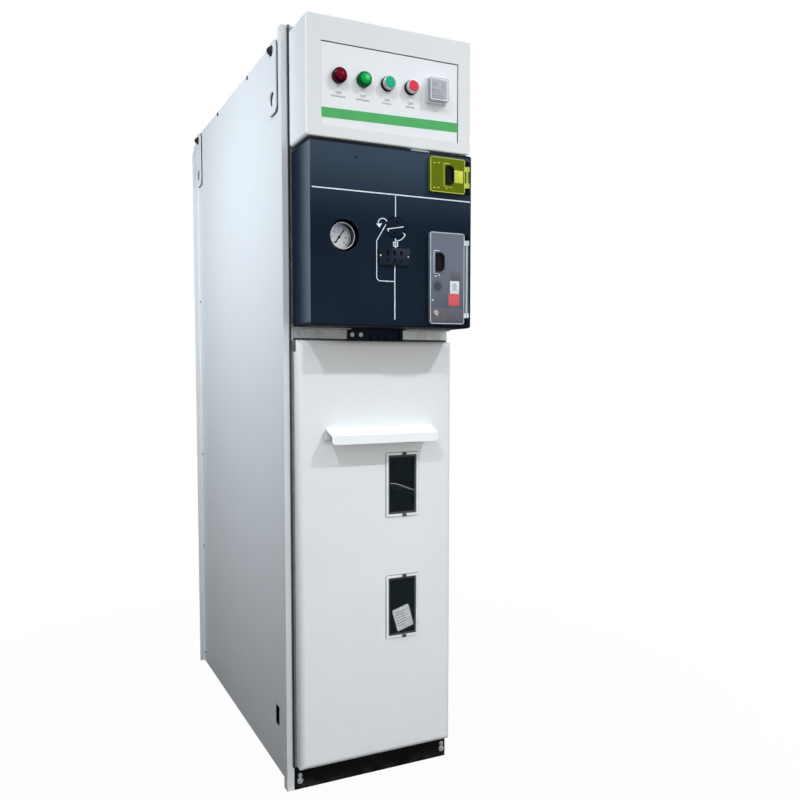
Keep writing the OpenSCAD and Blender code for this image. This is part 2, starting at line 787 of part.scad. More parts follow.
// Hinge leaf on the cover with two knuckles and the pin through them
module hinge(x1, z, h) {
    x = x1 + hinge_x;
    for (from = [z + knuckle_inset, z + h - knuckle_inset - knuckle_l])
        upwards(from, knuckle_l) {
            translate([x, hinge_y]) circle(d = knuckle_d);
            translate([x, hinge_y]) square([knuckle_d / 2, cover_y - hinge_y]);
        }
    block([x, cover_y - leaf_t, z + knuckle_inset], [x + leaf_w, cover_y, z + h - knuckle_inset]);
    translate([x, hinge_y, z + knuckle_inset]) cylinder(d = pin_d, h = h - 2 * knuckle_inset);
}

// Oblong outline with its right corners cut off, widened by grow
module latch_outline(x, z, w, h, grow) {
    cut = w / 3;
    translate([x, z]) polygon([[-w / 2 - grow, -h / 2 - grow], [w / 2 - cut + grow, -h / 2 - grow],
        [w / 2 + grow, cut - h / 2 - grow], [w / 2 + grow, h / 2 - cut + grow],
        [w / 2 - cut + grow, h / 2 + grow], [-w / 2 - grow, h / 2 + grow]]);
}

// Raised frame on the face of a lid, left of, above and below its latch
module latch_frame(x, z, w, h) {
    forwards(lid_y, frame_t) difference() {
        latch_outline(x, z, w, h, frame_w);
        latch_outline(x, z, w, h, 0);
        translate([x, z - h]) square([w, 2 * h]);
    }
}

// Latch with a finger hollow inside its rim
module latch(x, z, w, h) {
    difference() {
        forwards(lid_y, latch_t) latch_outline(x, z, w, h, 0);
        forwards(lid_y - latch_t + latch_hollow, latch_hollow + past)
            latch_outline(x, z, w, h, -latch_rim);
    }
}

upper_latch_at = [lid_x1 - upper_lid_w + upper_latch_x, upper_lid_z0 + upper_latch_z];
lower_latch_at = [lid_x1 - lower_lid_w + lower_latch_x, lower_lid_z0 + lower_latch_z];

module upper_lid() color([0.75, 0.8, 0.05, 0.7]) placed() {
    lid(lid_x1, upper_lid_z0, upper_lid_w, upper_lid_h);
    latch_frame(upper_latch_at.x, upper_latch_at.y, upper_latch_w, upper_latch_h);
}

module upper_hinge() color("olive") placed() hinge(lid_x1, upper_lid_z0, upper_lid_h);

module upper_latch() color("black") placed()
    latch(upper_latch_at.x, upper_latch_at.y, upper_latch_w, upper_latch_h);

module lower_lid() color([0.4, 0.4, 0.42, 0.6]) placed() {
    lid(lid_x1, lower_lid_z0, lower_lid_w, lower_lid_h);
    latch_frame(lower_latch_at.x, lower_latch_at.y, lower_latch_w, lower_latch_h);
}

module lower_hinge() color("silver") placed() hinge(lid_x1, lower_lid_z0, lower_lid_h);

module lower_latch() color("black") placed()
    latch(lower_latch_at.x, lower_latch_at.y, lower_latch_w, lower_latch_h);

// Folded box on top with a ledge that carries the inset plate
module instrument_box() color("white") placed() {
    plate_back = inset_y + inset_t;
    difference() {
        folded_block([box_x0, box_y, box_z0], [box_x1, 0, box_z1], box_edge_r, box_corner_r);
        block([box_x0 + sheet, box_y + sheet, box_z0 + sheet], [box_x1 - sheet, past, box_z1 - sheet]);
        forwards(box_y + sheet + past, sheet + 2 * past) inset_outline(0);
    }
    forwards(plate_back + sheet, plate_back + sheet - box_y - sheet) difference() {
        inset_outline(sheet);
        inset_outline(0);
    }
    forwards(plate_back + sheet, sheet) difference() {
        inset_outline(sheet);
        inset_outline(-ledge_w);
    }
}

// Opening for the inset plate, widened by grow
module inset_outline(grow) {
    translate([inset_x0 - grow, inset_z0 - grow])
        square([inset_x1 - inset_x0 + 2 * grow, inset_z1 - inset_z0 + 2 * grow]);
}

module inset_plate() color("white") placed() forwards(inset_y + inset_t, inset_t) inset_outline(-inset_gap);

function control_x(i) = inset_x0 + lamp_x + i * lamp_pitch;

// Shape turned round the axis of lamp or button i, from the inset plate outwards
module turned_on_control(i) {
    translate([control_x(i), inset_y, control_z]) rotate([90, 0, 0]) rotate_extrude() children();
}

module control_collars() color("black") placed()
    for (i = [0:3]) bar_y(control_x(i), inset_y, control_z, collar_d, collar_t);

// Lens: short cylinder under a shallow dome, an arc through the rim and the top
module lens(i) {
    r = lens_d / 2;
    sphere_r = (r * r + dome_h * dome_h) / (2 * dome_h);
    turned_on_control(i) translate([0, collar_t]) {
        square([r, lens_h]);
        intersection() {
            translate([0, lens_h + dome_h - sphere_r]) circle(sphere_r);
            translate([0, lens_h - past]) square([r, dome_h + past]);
        }
    }
}

module red_lamp() color("darkred") placed() lens(0);

module green_lamp() color("green") placed() lens(1);

// Cup-shaped bezel with a rounded front edge round a button cap
module button_bezels() color("silver") placed()
    for (i = [2, 3]) turned_on_control(i) translate([0, collar_t]) difference() {
        union() {
            square([bezel_d / 2, bezel_h - bezel_r]);
            square([bezel_d / 2 - bezel_r, bezel_h]);
            translate([bezel_d / 2 - bezel_r, bezel_h - bezel_r]) circle(bezel_r);
        }
        translate([0, bezel_floor]) square([cap_d / 2 + cap_gap, bezel_h]);
    }

// Cap with a broken edge that sinks into its bezel
module cap(i) {
    turned_on_control(i) translate([0, collar_t + bezel_h - cap_skirt])
        polygon([[0, 0], [cap_d / 2, 0], [cap_d / 2, cap_skirt + cap_proud - cap_edge],
                 [cap_d / 2 - cap_edge, cap_skirt + cap_proud], [0, cap_skirt + cap_proud]]);
}

module green_button() color("mediumseagreen") placed() cap(2);

module red_button() color("tomato") placed() cap(3);

module meter_case() color("dimgray") placed()
    forwards(inset_y, meter_t)
        round_rect([meter_x0, meter_z0], [meter_x0 + meter_w, meter_z0 + meter_h], meter_step);

// Clear cap over the meter's face
module meter_cover() color([0.9, 0.9, 0.9, 0.4]) placed() {
    low = [meter_x0 + meter_step, meter_z0 + meter_step];
    high = [meter_x0 + meter_w - meter_step, meter_z0 + meter_h - meter_step];
    difference() {
        forwards(inset_y - meter_t, meter_cover_d) round_rect(low, high, meter_step);
        block([low.x + meter_cover_t, inset_y - meter_t - meter_cover_d + meter_cover_t, low.y + meter_cover_t],
              [high.x - meter_cover_t, inset_y - meter_t + past, high.y - meter_cover_t]);
    }
}

// Flat lug hanging from its bolt beside a side sheet, with a washer between; out is -1 left, 1 right
module lifting_lug(x, out, y) {
    bolt_z = case_h - lug_bolt_z;
    low_z = bolt_z + lug_bolt_z - sheet - lug_l;
    translate([x, y, 0]) mirror([out < 0 ? 1 : 0, 0, 0]) {
        difference() {
            rightwards(lug_washer_t, lug_t)
                round_rect([-lug_w / 2, low_z], [lug_w / 2, low_z + lug_l], lug_w / 4);
            translate([-past, 0, low_z + lug_hole_z]) rotate([0, 90, 0])
                cylinder(d = lug_hole_d, h = lug_washer_t + lug_t + 2 * past);
        }
        translate([0, 0, bolt_z]) rotate([0, 90, 0]) cylinder(d = lug_washer_d, h = lug_washer_t);
    }
}

module lifting_lugs_left() color("whitesmoke") placed()
    for (y = [lug_front, case_d - lug_rear]) lifting_lug(0, -1, y);

module lifting_lugs_right() color("whitesmoke") placed()
    for (y = [lug_front, case_d - lug_rear]) lifting_lug(case_w, 1, y);

left_end_panel();
right_side_panel();
rear_panel();
roof_panel();
floor_plate();
plinth_front();
plinth_rear();
front_post_left();
front_post_right();
edge_seal();
front_bulkhead();
compartment_ceiling();
cable_bracket();
middle_rail_left();
middle_rail_right();
interlock_block();
interlock_plugs();
front_panel();
panel_handle();
window_rims();
window_panes();
mechanism_cover();
gauge_case();
gauge_dial();
gauge_needle();
gauge_glass();
position_indicator();
voltage_indicator();
upper_lid();
upper_latch();
upper_hinge();
lower_lid();
lower_latch();
lower_hinge();
instrument_box();
inset_plate();
control_collars();
red_lamp();
green_lamp();
button_bezels();
green_button();
red_button();
meter_case();
meter_cover();
lifting_lugs_left();
lifting_lugs_right();
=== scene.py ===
import math

import bpy
import numpy as np
from mathutils import Matrix, Vector


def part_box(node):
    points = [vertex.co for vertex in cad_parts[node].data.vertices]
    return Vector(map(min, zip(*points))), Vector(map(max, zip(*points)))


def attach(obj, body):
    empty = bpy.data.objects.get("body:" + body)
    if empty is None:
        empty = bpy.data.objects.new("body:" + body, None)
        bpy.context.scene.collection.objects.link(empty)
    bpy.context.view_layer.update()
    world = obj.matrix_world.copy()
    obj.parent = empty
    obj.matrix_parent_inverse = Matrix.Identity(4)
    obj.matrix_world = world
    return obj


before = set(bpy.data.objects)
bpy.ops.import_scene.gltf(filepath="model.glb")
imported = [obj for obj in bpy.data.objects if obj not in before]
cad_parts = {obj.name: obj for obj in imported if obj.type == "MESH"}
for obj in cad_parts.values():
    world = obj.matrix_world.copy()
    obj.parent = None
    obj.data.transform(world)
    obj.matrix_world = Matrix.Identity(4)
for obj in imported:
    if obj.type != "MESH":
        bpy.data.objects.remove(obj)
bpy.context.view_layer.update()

# The view. The camera stands in front and to the left of the cabinet at chest height. Its place, turn
# and focal length were solved from the cabinet's own straight edges in the 800 by 800 picture.
picture_px = 800
focal_px = 781.4
axis_px = (362.2, 419.4)
camera_at = Vector((-0.7150, -1.9056, 0.9013))
yaw, pitch, roll = 0.4227, -0.0624, -0.0027
scene = bpy.context.scene
scene.view_settings.view_transform = "Standard"
forward = Vector((math.sin(yaw) * math.cos(pitch), math.cos(yaw) * math.cos(pitch), math.sin(pitch)))
level = Vector((math.cos(yaw), -math.sin(yaw), 0))
upright = level.cross(forward)
across = level * math.cos(roll) + upright * math.sin(roll)
upward = upright * math.cos(roll) - level * math.sin(roll)
lens = bpy.data.cameras.new("camera")
lens.sensor_width = 36
lens.lens = lens.sensor_width * focal_px / picture_px
lens.shift_x = (picture_px / 2 - axis_px[0]) / picture_px
lens.shift_y = (axis_px[1] - picture_px / 2) / picture_px
camera = bpy.data.objects.new("camera", lens)
camera.matrix_world = Matrix((across, upward, -forward)).transposed().to_4x4()
camera.location = camera_at
scene.collection.objects.link(camera)
scene.camera = camera


# The surround. A pale floor that fades to white with distance, a white world that is bright in front and
# dark behind, two small cool lamps high in front that throw the shadows, a broad warm one low between them,
# a cool, narrow one on the left that leaves the foot of the side dim and a broad one behind on the right.
def add(tree, kind, settings=None, inputs=None):
    """One node of a kind with its settings; an input that is a socket is linked, any other is set."""
    made = tree.nodes.new(kind)
    for name, value in (settings or {}).items():
        setattr(made, name, value)
    for key, value in (inputs or {}).items():
        if isinstance(value, bpy.types.NodeSocket):
            tree.links.new(value, made.inputs[key])
        else:
            made.inputs[key].default_value = value
    return made


def place(tree):
    """Position on the object, in its own coordinates."""
    return add(tree, "ShaderNodeTexCoord").outputs["Object"]


def reckon(tree, operation, a, b):
    """Result of one operation on two values."""
    return add(tree, "ShaderNodeMath", {"operation": operation}, {0: a, 1: b}).outputs[0]


def vector(tree, operation, a, b=(0, 0, 0)):
    """Result of one operation on vectors: a value for a length or a dot product, otherwise a vector."""
    made = add(tree, "ShaderNodeVectorMath", {"operation": operation}, {0: a, 1: b}).outputs
    return made["Value"] if operation in ("LENGTH", "DOT_PRODUCT") else made[0]


def ramp(tree, value, start, end, low=0.0, high=1.0, curve="SMOOTHSTEP"):
    """Goes from low to high while a value goes from start to end, eased or, when LINEAR, straight."""
    return add(tree, "ShaderNodeMapRange", {"interpolation_type": curve},
               {"Value": value, "From Min": start, "From Max": end, "To Min": low, "To Max": high}).outputs[0]


def seen_ray(tree):
    """1 for rays that show a surface: from the camera or through glass."""
    path = add(tree, "ShaderNodeLightPath").outputs
    return reckon(tree, "MAXIMUM", path["Is Camera Ray"], path["Is Transmission Ray"])


bright_side = Vector((0.05, -0.95, 0.2)).normalized()
dim_light, bright_light = 0.0, 0.84
scene.world = bpy.data.worlds.new("surround")
scene.world.use_nodes = True
tree = scene.world.node_tree
tree.nodes.clear()
heading = add(tree, "ShaderNodeTexCoord").outputs["Generated"]
strength = ramp(tree, vector(tree, "DOT_PRODUCT", heading, bright_side), -0.1, 0.8, dim_light, bright_light)
sky = add(tree, "ShaderNodeBackground", None, {"Color": (0.97, 0.985, 1.0, 1), "Strength": strength})
white = add(tree, "ShaderNodeBackground", None, {"Color": (1, 1, 1, 1), "Strength": 1.0})
mixed = add(tree, "ShaderNodeMixShader", None, {0: seen_ray(tree), 1: sky.outputs[0], 2: white.outputs[0]})
add(tree, "ShaderNodeOutputWorld", None, {"Surface": mixed.outputs[0]})

floor_reach, fade_from, fade_to, near_glow = 9.0, 0.5, 1.5, 0.975
floor_mesh = bpy.data.meshes.new("floor")
floor_mesh.from_pydata([(-floor_reach, -floor_reach, 0), (floor_reach, -floor_reach, 0),
                        (floor_reach, floor_reach, 0), (-floor_reach, floor_reach, 0)], [], [(0, 1, 2, 3)])
floor = bpy.data.objects.new("floor", floor_mesh)
scene.collection.objects.link(floor)
floor_paint = bpy.data.materials.new("floor_paint")
floor_paint.use_nodes = True
floor_mesh.materials.append(floor_paint)
tree = floor_paint.node_tree
tree.nodes.clear()
fade = ramp(tree, vector(tree, "LENGTH", place(tree)), fade_from, fade_to, near_glow, 1.0)
shown = reckon(tree, "MULTIPLY", fade, seen_ray(tree))
matt = add(tree, "ShaderNodeBsdfDiffuse", None, {"Color": (0.2, 0.2, 0.2, 1)})
glow = add(tree, "ShaderNodeEmission", None, {"Color": (1, 1, 1, 1), "Strength": 1.0})
mixed = add(tree, "ShaderNodeMixShader", None, {0: shown, 1: matt.outputs[0], 2: glow.outputs[0]})
add(tree, "ShaderNodeOutputMaterial", None, {"Surface": mixed.outputs[0]})


def lamp(name, at, towards, size, watts, spread, colour):
    """Square soft lamp at a point, turned towards another, that fades out at half its spread off its axis."""
    light = bpy.data.lights.new(name, "AREA")
    light.size = size
    light.energy = watts
    light.spread = math.radians(spread)
    light.color = colour
    made = bpy.data.objects.new(name, light)
    made.location = at
    made.visible_camera = False
    made.rotation_euler = (Vector(towards) - Vector(at)).to_track_quat("-Z", "Y").to_euler()
    scene.collection.objects.link(made)


for name, x, watts in (("lamp_left", -1.48, 2.15), ("lamp_right", 1.48, 3.05)):
    lamp(name, (x, -2.15, 3.17), (0.05, -0.4, 0.50), 0.08, watts, 50, (0.88, 0.95, 1.0))
lamp("lamp_low", (0.42, -2.70, 0.8), (0, -0.4, 0.5), 0.6, 9.7, 180, (1.0, 0.96, 0.91))
lamp("lamp_side", (-2.10, -0.30, 1.78), (-0.18, 0.10, 1.32), 0.5, 6.6, 69, (0.87, 0.935, 1.0))
lamp("lamp_back", (1.90, 2.40, 1.80), (0.10, 0.30, 0.80), 1.2, 70, 180, (0.98, 0.99, 1.0))


# Plinth rails. Two angle rails of black painted steel carry the cabinet on the floor; bolts in their
# ends hold the side sheets. The paint is semi-gloss, dusty towards the floor.
mm = 0.001
facing_front = np.array([[1, 0, 0], [0, 0, 1], [0, -1, 0]], float)
facing_rear = np.array([[-1, 0, 0], [0, 0, 1], [0, 1, 0]], float)


def tone(red, green, blue):
    """Linear colour of a tone written as 0 to 255 a channel: the sRGB curve turned back."""
    part = np.array([red, green, blue]) / 255
    return (*np.where(part <= 0.04045, part / 12.92, ((part + 0.055) / 1.055) ** 2.4), 1.0)


def noise(tree, position, scale, detail):
    """Cloudy value over the surface."""
    settings = {"Vector": position, "Scale": scale, "Detail": detail}
    return add(tree, "ShaderNodeTexNoise", None, settings).outputs[0]


def blend(tree, share, a, b):
    """Colour a where the share is 0 and b where it is 1."""
    return add(tree, "ShaderNodeMix", {"data_type": "RGBA"}, {0: share, 6: a, 7: b}).outputs[2]


def new_group(name, inputs, outputs):
    """Empty shader group with named sockets: its tree, the sockets it takes in and its output node."""
    made = bpy.data.node_groups.new(name, "ShaderNodeTree")
    for in_out, sockets in (("INPUT", inputs), ("OUTPUT", outputs)):
        for label, kind in sockets.items():
            made.interface.new_socket(label, in_out=in_out, socket_type="NodeSocket" + kind)
    return made, made.nodes.new("NodeGroupInput").outputs, made.nodes.new("NodeGroupOutput").inputs


# Finish: two tones in soft patches, a roughness that drifts between two values and a fine grain.
finish, taken, given = new_group(
    "finish", {"Position": "Vector", "Tint": "Color", "Shade": "Color", "Patch": "Float", "Grain": "Float",
               "Smooth": "Float", "Rough": "Float"},
    {"Colour": "Color", "Roughness": "Float", "Height": "Float"})
patches = noise(finish, taken["Position"], taken["Patch"], 4.0)
share = ramp(finish, patches, 0.32, 0.68, curve="LINEAR")
drift = ramp(finish, patches, 0.3, 0.7, taken["Smooth"], taken["Rough"], "LINEAR")
finish.links.new(blend(finish, share, taken["Tint"], taken["Shade"]), given["Colour"])
finish.links.new(drift, given["Roughness"])
finish.links.new(noise(finish, taken["Position"], taken["Grain"], 2.0), given["Height"])

# Dust: thickest at a height called Ground, gone at Ground plus Reach, broken up by a cloudy noise.
dust, taken, given = new_group(
    "dust", {"Position": "Vector", "Ground": "Float", "Reach": "Float", "Amount": "Float"}, {"Mask": "Float"})
height = add(dust, "ShaderNodeSeparateXYZ", None, {0: taken["Position"]}).outputs["Z"]
fall = ramp(dust, reckon(dust, "SUBTRACT", height, taken["Ground"]), 0.0, taken["Reach"], 1.0, 0.0)
broken = ramp(dust, noise(dust, taken["Position"], 34.0, 5.0), 0.38, 0.72, curve="LINEAR")
both = reckon(dust, "MULTIPLY", fall, broken)
dust.links.new(reckon(dust, "MULTIPLY", both, taken["Amount"]), given["Mask"])


def skinned(name, group, values, bump, plain):
    """Material whose colour, roughness and bump come from a shader group with its own values; plain holds
    the shader's constant sockets."""
    made = bpy.data.materials.new(name)
    made.use_nodes = True
    nodes = made.node_tree
    shader = nodes.nodes["Principled BSDF"]
    for socket, value in plain.items():
        shader.inputs[socket].default_value = value
    skin = add(nodes, "ShaderNodeGroup", {"node_tree": group}, {"Position": place(nodes), **values}).outputs
    nodes.links.new(skin["Colour"], shader.inputs["Base Color"])
    nodes.links.new(skin["Roughness"], shader.inputs["Roughness"])
    if bump:
        relief = add(nodes, "ShaderNodeBump", None,
                     {"Strength": bump, "Distance": 0.2 * mm, "Height": skin["Height"]})
        nodes.links.new(relief.outputs[0], shader.inputs["Normal"])
    return made


def coated(name, tint, shade, patch, grain, rough, bump, plain=None):
    """Material with the finish group: two tones, the sizes of patches and grain and a range of roughness."""
    return skinned(name, finish, {"Tint": tint, "Shade": shade, "Patch": patch, "Grain": grain,
                                  "Smooth": rough[0], "Rough": rough[1]}, bump, plain or {})


def laid_over(material, colour, *masks):
    """Mixes a colour over the material's base colour where every mask is 1."""
    nodes = material.node_tree
    share = masks[0]
    for mask in masks[1:]:
        share = reckon(nodes, "MULTIPLY", share, mask)
    base = nodes.nodes["Principled BSDF"].inputs["Base Color"]
    nodes.links.new(blend(nodes, share, base.links[0].from_socket, colour), base)


def dusted(material, ground, reach, amount, colour):
    """Lays floor dust of a colour over a material, from a height upwards."""
    nodes = material.node_tree
    mask = add(nodes, "ShaderNodeGroup", {"node_tree": dust},
               {"Position": place(nodes), "Ground": ground, "Reach": reach, "Amount": amount}).outputs[0]
    laid_over(material, colour, mask)


def dress(material, *names):
    """Gives CAD nodes their finish through their own material slots."""
    for name in names:
        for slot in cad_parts[name].material_slots:
            slot.material = material


def loft(rings, closed=False):
    """Skin through rings of points, rows by columns by 3: quads from each ring to the next, and either
    flat ends or, when closed, quads from the last ring back to the first."""
    rows, columns = rings.shape[:2]
    i, j = np.mgrid[0:rows if closed else rows - 1, 0:columns]
    a, b = (i + 1) % rows, (j + 1) % columns
    quads = np.stack([i * columns + j, i * columns + b, a * columns + b, a * columns + j], -1).reshape(-1, 4)
    ring = np.arange(columns)
    return rings.reshape(-1, 3), quads, [] if closed else [ring[::-1], (rows - 1) * columns + ring]


def turned(profile, centre, facing=facing_front, sides=32, closed=False):
    """Profile of (radius r, height h) carried round an axis: centre + r cos t right + r sin t up + h out."""
    r, h = np.array(profile, float).T
    t = np.linspace(0, 2 * np.pi, sides, endpoint=False)
    local = np.stack([np.outer(r, np.cos(t)), np.outer(r, np.sin(t)), np.outer(h, np.ones(sides))], -1)
    return loft(local @ facing + np.array(centre), closed)


def piece(name, skins, material, body):
    """One object of several skins with edges over 30 degrees kept sharp, riding on a body."""
    starts = np.cumsum([0] + [len(points) for points, _, _ in skins])
    faces = [row for start, (_, quads, ends) in zip(starts, skins)
             for row in (quads + start).tolist() + [(end + start).tolist() for end in ends]]
    mesh = bpy.data.meshes.new(name)
    mesh.from_pydata(np.concatenate([points for points, _, _ in skins]).tolist(), [], faces)
    mesh.materials.append(material)
    mesh.shade_smooth()
    mesh.set_sharp_from_angle(angle=math.radians(30))
    made = bpy.data.objects.new(name, mesh)
    scene.collection.objects.link(made)
    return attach(made, body)


def bolt(facing, centre, r):
    """Socket-head bolt of head radius r on a thin washer, with a six-sided recess."""
    washer = [(1.35 * r, 0), (1.35 * r, 0.22 * r), (1.25 * r, 0.28 * r)]
    head = [(r, 0.2 * r), (r, 0.75 * r), (0.9 * r, 0.9 * r), (0.55 * r, 0.9 * r)]
    recess = [(0.55 * r, 0.88 * r), (0.55 * r, 0.91 * r), (0.5 * r, 0.91 * r), (0.48 * r, 0.5 * r)]
    return [turned(washer, centre, facing, 28), turned(head, centre, facing, 24),
            turned(recess, centre, facing, 6)]


plinth_paint = coated("plinth_paint", tone(8, 8, 10), tone(14, 14, 17), 9, 650, (0.32, 0.55), 0.25,
                      {"Specular IOR Level": 0.12})
dusted(plinth_paint, 0.0, 0.03, 0.12, tone(128, 124, 118))
dress(plinth_paint, "plinth_front", "plinth_rear")
zinc_bolt = coated("zinc_bolt", tone(216, 218, 221), tone(172, 174, 177), 160, 1500, (0.25, 0.42), 0.2,
                   {"Metallic": 0.45})
rail_low, rail_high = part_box("plinth_front")
rear_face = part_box("plinth_rear")[1].y
bolt_from_left, bolt_from_right = 13.2 * mm, 9.0 * mm
big_bolt, small_bolt = (18.5 * mm, 5.0 * mm), (30.5 * mm, 3.6 * mm)
bolt_places = [(facing, (x, y, z), r)
               for facing, y in ((facing_front, rail_low.y), (facing_rear, rear_face))
               for x in (rail_low.x + bolt_from_left, rail_high.x - bolt_from_right)
               for z, r in (big_bolt, small_bolt)]
piece("plinth_bolts", sum([bolt(*spot) for spot in bolt_places], []), zinc_bolt, "case")
# Black discs inside the bolts' recesses are painted shade.
bolt_recess_shade = [turned([(0.49 * r, 0.5 * r), (0.49 * r, 0.8 * r)], centre, facing, 6)
                for facing, centre, r in bolt_places]
piece("bolt_recess_shade", bolt_recess_shade, plinth_paint, "case")


# Galvanised sheets. Floor plate, front posts, bulkhead and compartment ceiling are bent from zinc-coated
# sheet, dull grey with the coating's spangle.
# Spangle: grains of zinc as cells, each with a tone of its own, under a cloudy bloom.
spangle, taken, given = new_group(
    "spangle", {"Position": "Vector", "Cells": "Float", "Dark": "Color", "Light": "Color"},
    {"Colour": "Color", "Roughness": "Float", "Height": "Float"})
cells = add(spangle, "ShaderNodeTexVoronoi", None, {"Vector": taken["Position"], "Scale": taken["Cells"]})
grey = add(spangle, "ShaderNodeRGBToBW", None, {0: cells.outputs["Color"]}).outputs[0]
bloom = noise(spangle, taken["Position"], 45.0, 6.0)
both = add(spangle, "ShaderNodeMath", {"operation": "MULTIPLY_ADD"}, {0: grey, 1: 0.45, 2: bloom}).outputs[0]
share = ramp(spangle, both, 0.42, 1.05, curve="LINEAR")
spangle.links.new(blend(spangle, share, taken["Dark"], taken["Light"]), given["Colour"])
spangle.links.new(ramp(spangle, grey, 0.0, 1.0, 0.38, 0.58, "LINEAR"), given["Roughness"])
spangle.links.new(bloom, given["Height"])


def galvanised(name, metallic, dark, light):
    """Zinc-coated sheet between two tones, with its colour, roughness and bump from the spangle group."""
    values = {"Cells": 210.0, "Dark": dark, "Light": light}
    return skinned(name, spangle, values, 0.12, {"Metallic": metallic})


zinc_sheet = galvanised("zinc_sheet", 0.55, tone(140, 144, 146), tone(188, 191, 192))
dress(zinc_sheet, "floor_plate", "front_post_left", "front_post_right", "front_bulkhead",
      "compartment_ceiling")


# Side sheets, rear sheet and roof. Folded sheet steel with a white satin powder coat outside, painted dark
# inside as painted shade of the closed cabinet, fixed along the edges by small round-headed screws; dust
# gathers on it near the floor. A small zinc-coated bracket with a painted highlight along its inner edge is
# fixed to the right sheet's inside.
facing_left = np.array([[0, -1, 0], [0, 0, 1], [-1, 0, 0]], float)
facing_right = np.array([[0, 1, 0], [0, 0, 1], [1, 0, 0]], float)
facing_up = np.eye(3)
right_low, right_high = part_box("right_side_panel")
roof_low, roof_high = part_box("roof_panel")
back_low, back_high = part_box("rear_panel")
sheet = 2 * mm
left_face, right_face, front_edge, back_edge = roof_low.x - sheet, right_high.x, right_low.y, right_high.y

# Depth: how far a point lies inside an upright box given by two corners, the least over its six sides.
depth, taken, given = new_group(
    "depth", {"Position": "Vector", "Low": "Vector", "High": "Vector"}, {"Depth": "Float"})
from_low = vector(depth, "SUBTRACT", taken["Position"], taken["Low"])
from_high = vector(depth, "SUBTRACT", taken["High"], taken["Position"])
least = vector(depth, "MINIMUM", from_low, from_high)
part = add(depth, "ShaderNodeSeparateXYZ", None, {0: least}).outputs
level_least = reckon(depth, "MINIMUM", part["X"], part["Y"])
depth.links.new(reckon(depth, "MINIMUM", level_least, part["Z"]), given["Depth"])


def within(material, start, end, left=-9, right=9, front=-9, back=9, bottom=-9, top=9):
    """Mask that goes from 0 to 1 as the depth inside a box goes from start to end, either of which may be
    the deeper; a side of the box that isn't given lies far off."""
    nodes = material.node_tree
    inner = add(nodes, "ShaderNodeGroup", {"node_tree": depth},
                {"Position": place(nodes), "Low": (left, front, bottom), "High": (right, back, top)})
    return ramp(nodes, inner.outputs[0], start, end)


bracket_zinc = coated("bracket_zinc", tone(120, 124, 126), tone(104, 108, 110), 60, 900, (0.4, 0.55), 0.15)
# Painted highlight: near white along the bracket's inner edge.
bracket_highlight = within(bracket_zinc, 0, sheet / 5, right=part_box("cable_bracket")[0].x + 0.6 * sheet)
laid_over(bracket_zinc, tone(250, 252, 252), bracket_highlight)
dress(bracket_zinc, "cable_bracket")


def white_powder(name):
    """White satin powder coat."""
    return coated(name, tone(229, 232, 233), tone(226, 229, 231), 5, 420, (0.36, 0.46), 0.10,
                  {"Specular IOR Level": 0.3})


white_coat = white_powder("white_coat")
dusted(white_coat, 0.0, 0.35, 0.06, tone(176, 174, 168))
# The sheets' inner faces are painted dark: painted shade inside the closed cabinet.
inside_shade = within(white_coat, 0, sheet / 10, left=left_face + sheet / 2, right=right_face - sheet / 2,
                front=front_edge + 2 * sheet, back=back_edge - sheet / 2, bottom=-sheet,
                top=roof_high.z - sheet / 2)
laid_over(white_coat, tone(38, 41, 44), inside_shade)
dress(white_coat, "left_end_panel", "right_side_panel", "rear_panel", "roof_panel")


def screw(facing, centre, r):
    """Low round screw head of radius r with a six-sided recess."""
    head = [(r, 0), (r, 0.15 * r), (0.75 * r, 0.42 * r), (0.45 * r, 0.46 * r)]
    recess = [(0.42 * r, 0.44 * r), (0.42 * r, 0.48 * r), (0.38 * r, 0.48 * r), (0.36 * r, 0.2 * r)]
    return [turned(head, centre, facing, 20), turned(recess, centre, facing, 6)]


dark_screw = coated("dark_screw", tone(74, 76, 79), tone(48, 50, 53), 300, 1500, (0.35, 0.55), 0.2,
                    {"Metallic": 0.7})
screw_r, top_screw_r, from_edge = 3.4 * mm, 4.8 * mm, 14 * mm
top_screws = [(front_edge + y * mm, right_high.z - 7 * mm, top_screw_r) for y in (292, 579)]
rear_screws = [(back_edge - 18 * mm, z * mm, screw_r) for z in (1110, 648, 365, 30)]
front_screws = [(front_edge + 52 * mm, 584 * mm, screw_r)]
edge_screws = [screw(facing, (x, y, z), r)
               for facing, x in ((facing_left, left_face), (facing_right, right_face))
               for y, z, r in top_screws + rear_screws + front_screws]
edge_screws += [screw(facing_rear, (x, back_edge, z * mm), screw_r)
                for x in (back_low.x + from_edge, back_high.x - from_edge)
                for z in (80, 440, 800, 1160, 1560)]
edge_screws += [screw(facing_up, (x, front_edge + y * mm, roof_high.z), screw_r)
                for x in (roof_low.x + from_edge, roof_high.x - from_edge) for y in (60, 420, 780)]
piece("edge_screws", sum(edge_screws, []), dark_screw, "case")


# Edge seal. A strip of black rubber pushed over the front edge of the left sheet, with a small steel
# eyelet that closes its upper end.
seal_rubber = coated("seal_rubber", tone(30, 31, 33), tone(42, 43, 45), 60, 900, (0.55, 0.75), 0.4)
dress(seal_rubber, "edge_seal")
seal_low, seal_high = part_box("edge_seal")
eyelet_r, eyelet_t = 2.6 * mm, 0.8 * mm
t = np.linspace(0, 2 * np.pi, 12, endpoint=False)
eyelet = np.stack([eyelet_r + eyelet_t * np.cos(t), eyelet_t + eyelet_t * np.sin(t)], -1)
eyelet_at = ((seal_low.x + seal_high.x) / 2, seal_low.y, seal_high.z - 3 * mm)
piece("seal_eyelet", [turned(eyelet, eyelet_at, sides=24, closed=True)], zinc_bolt, "case")
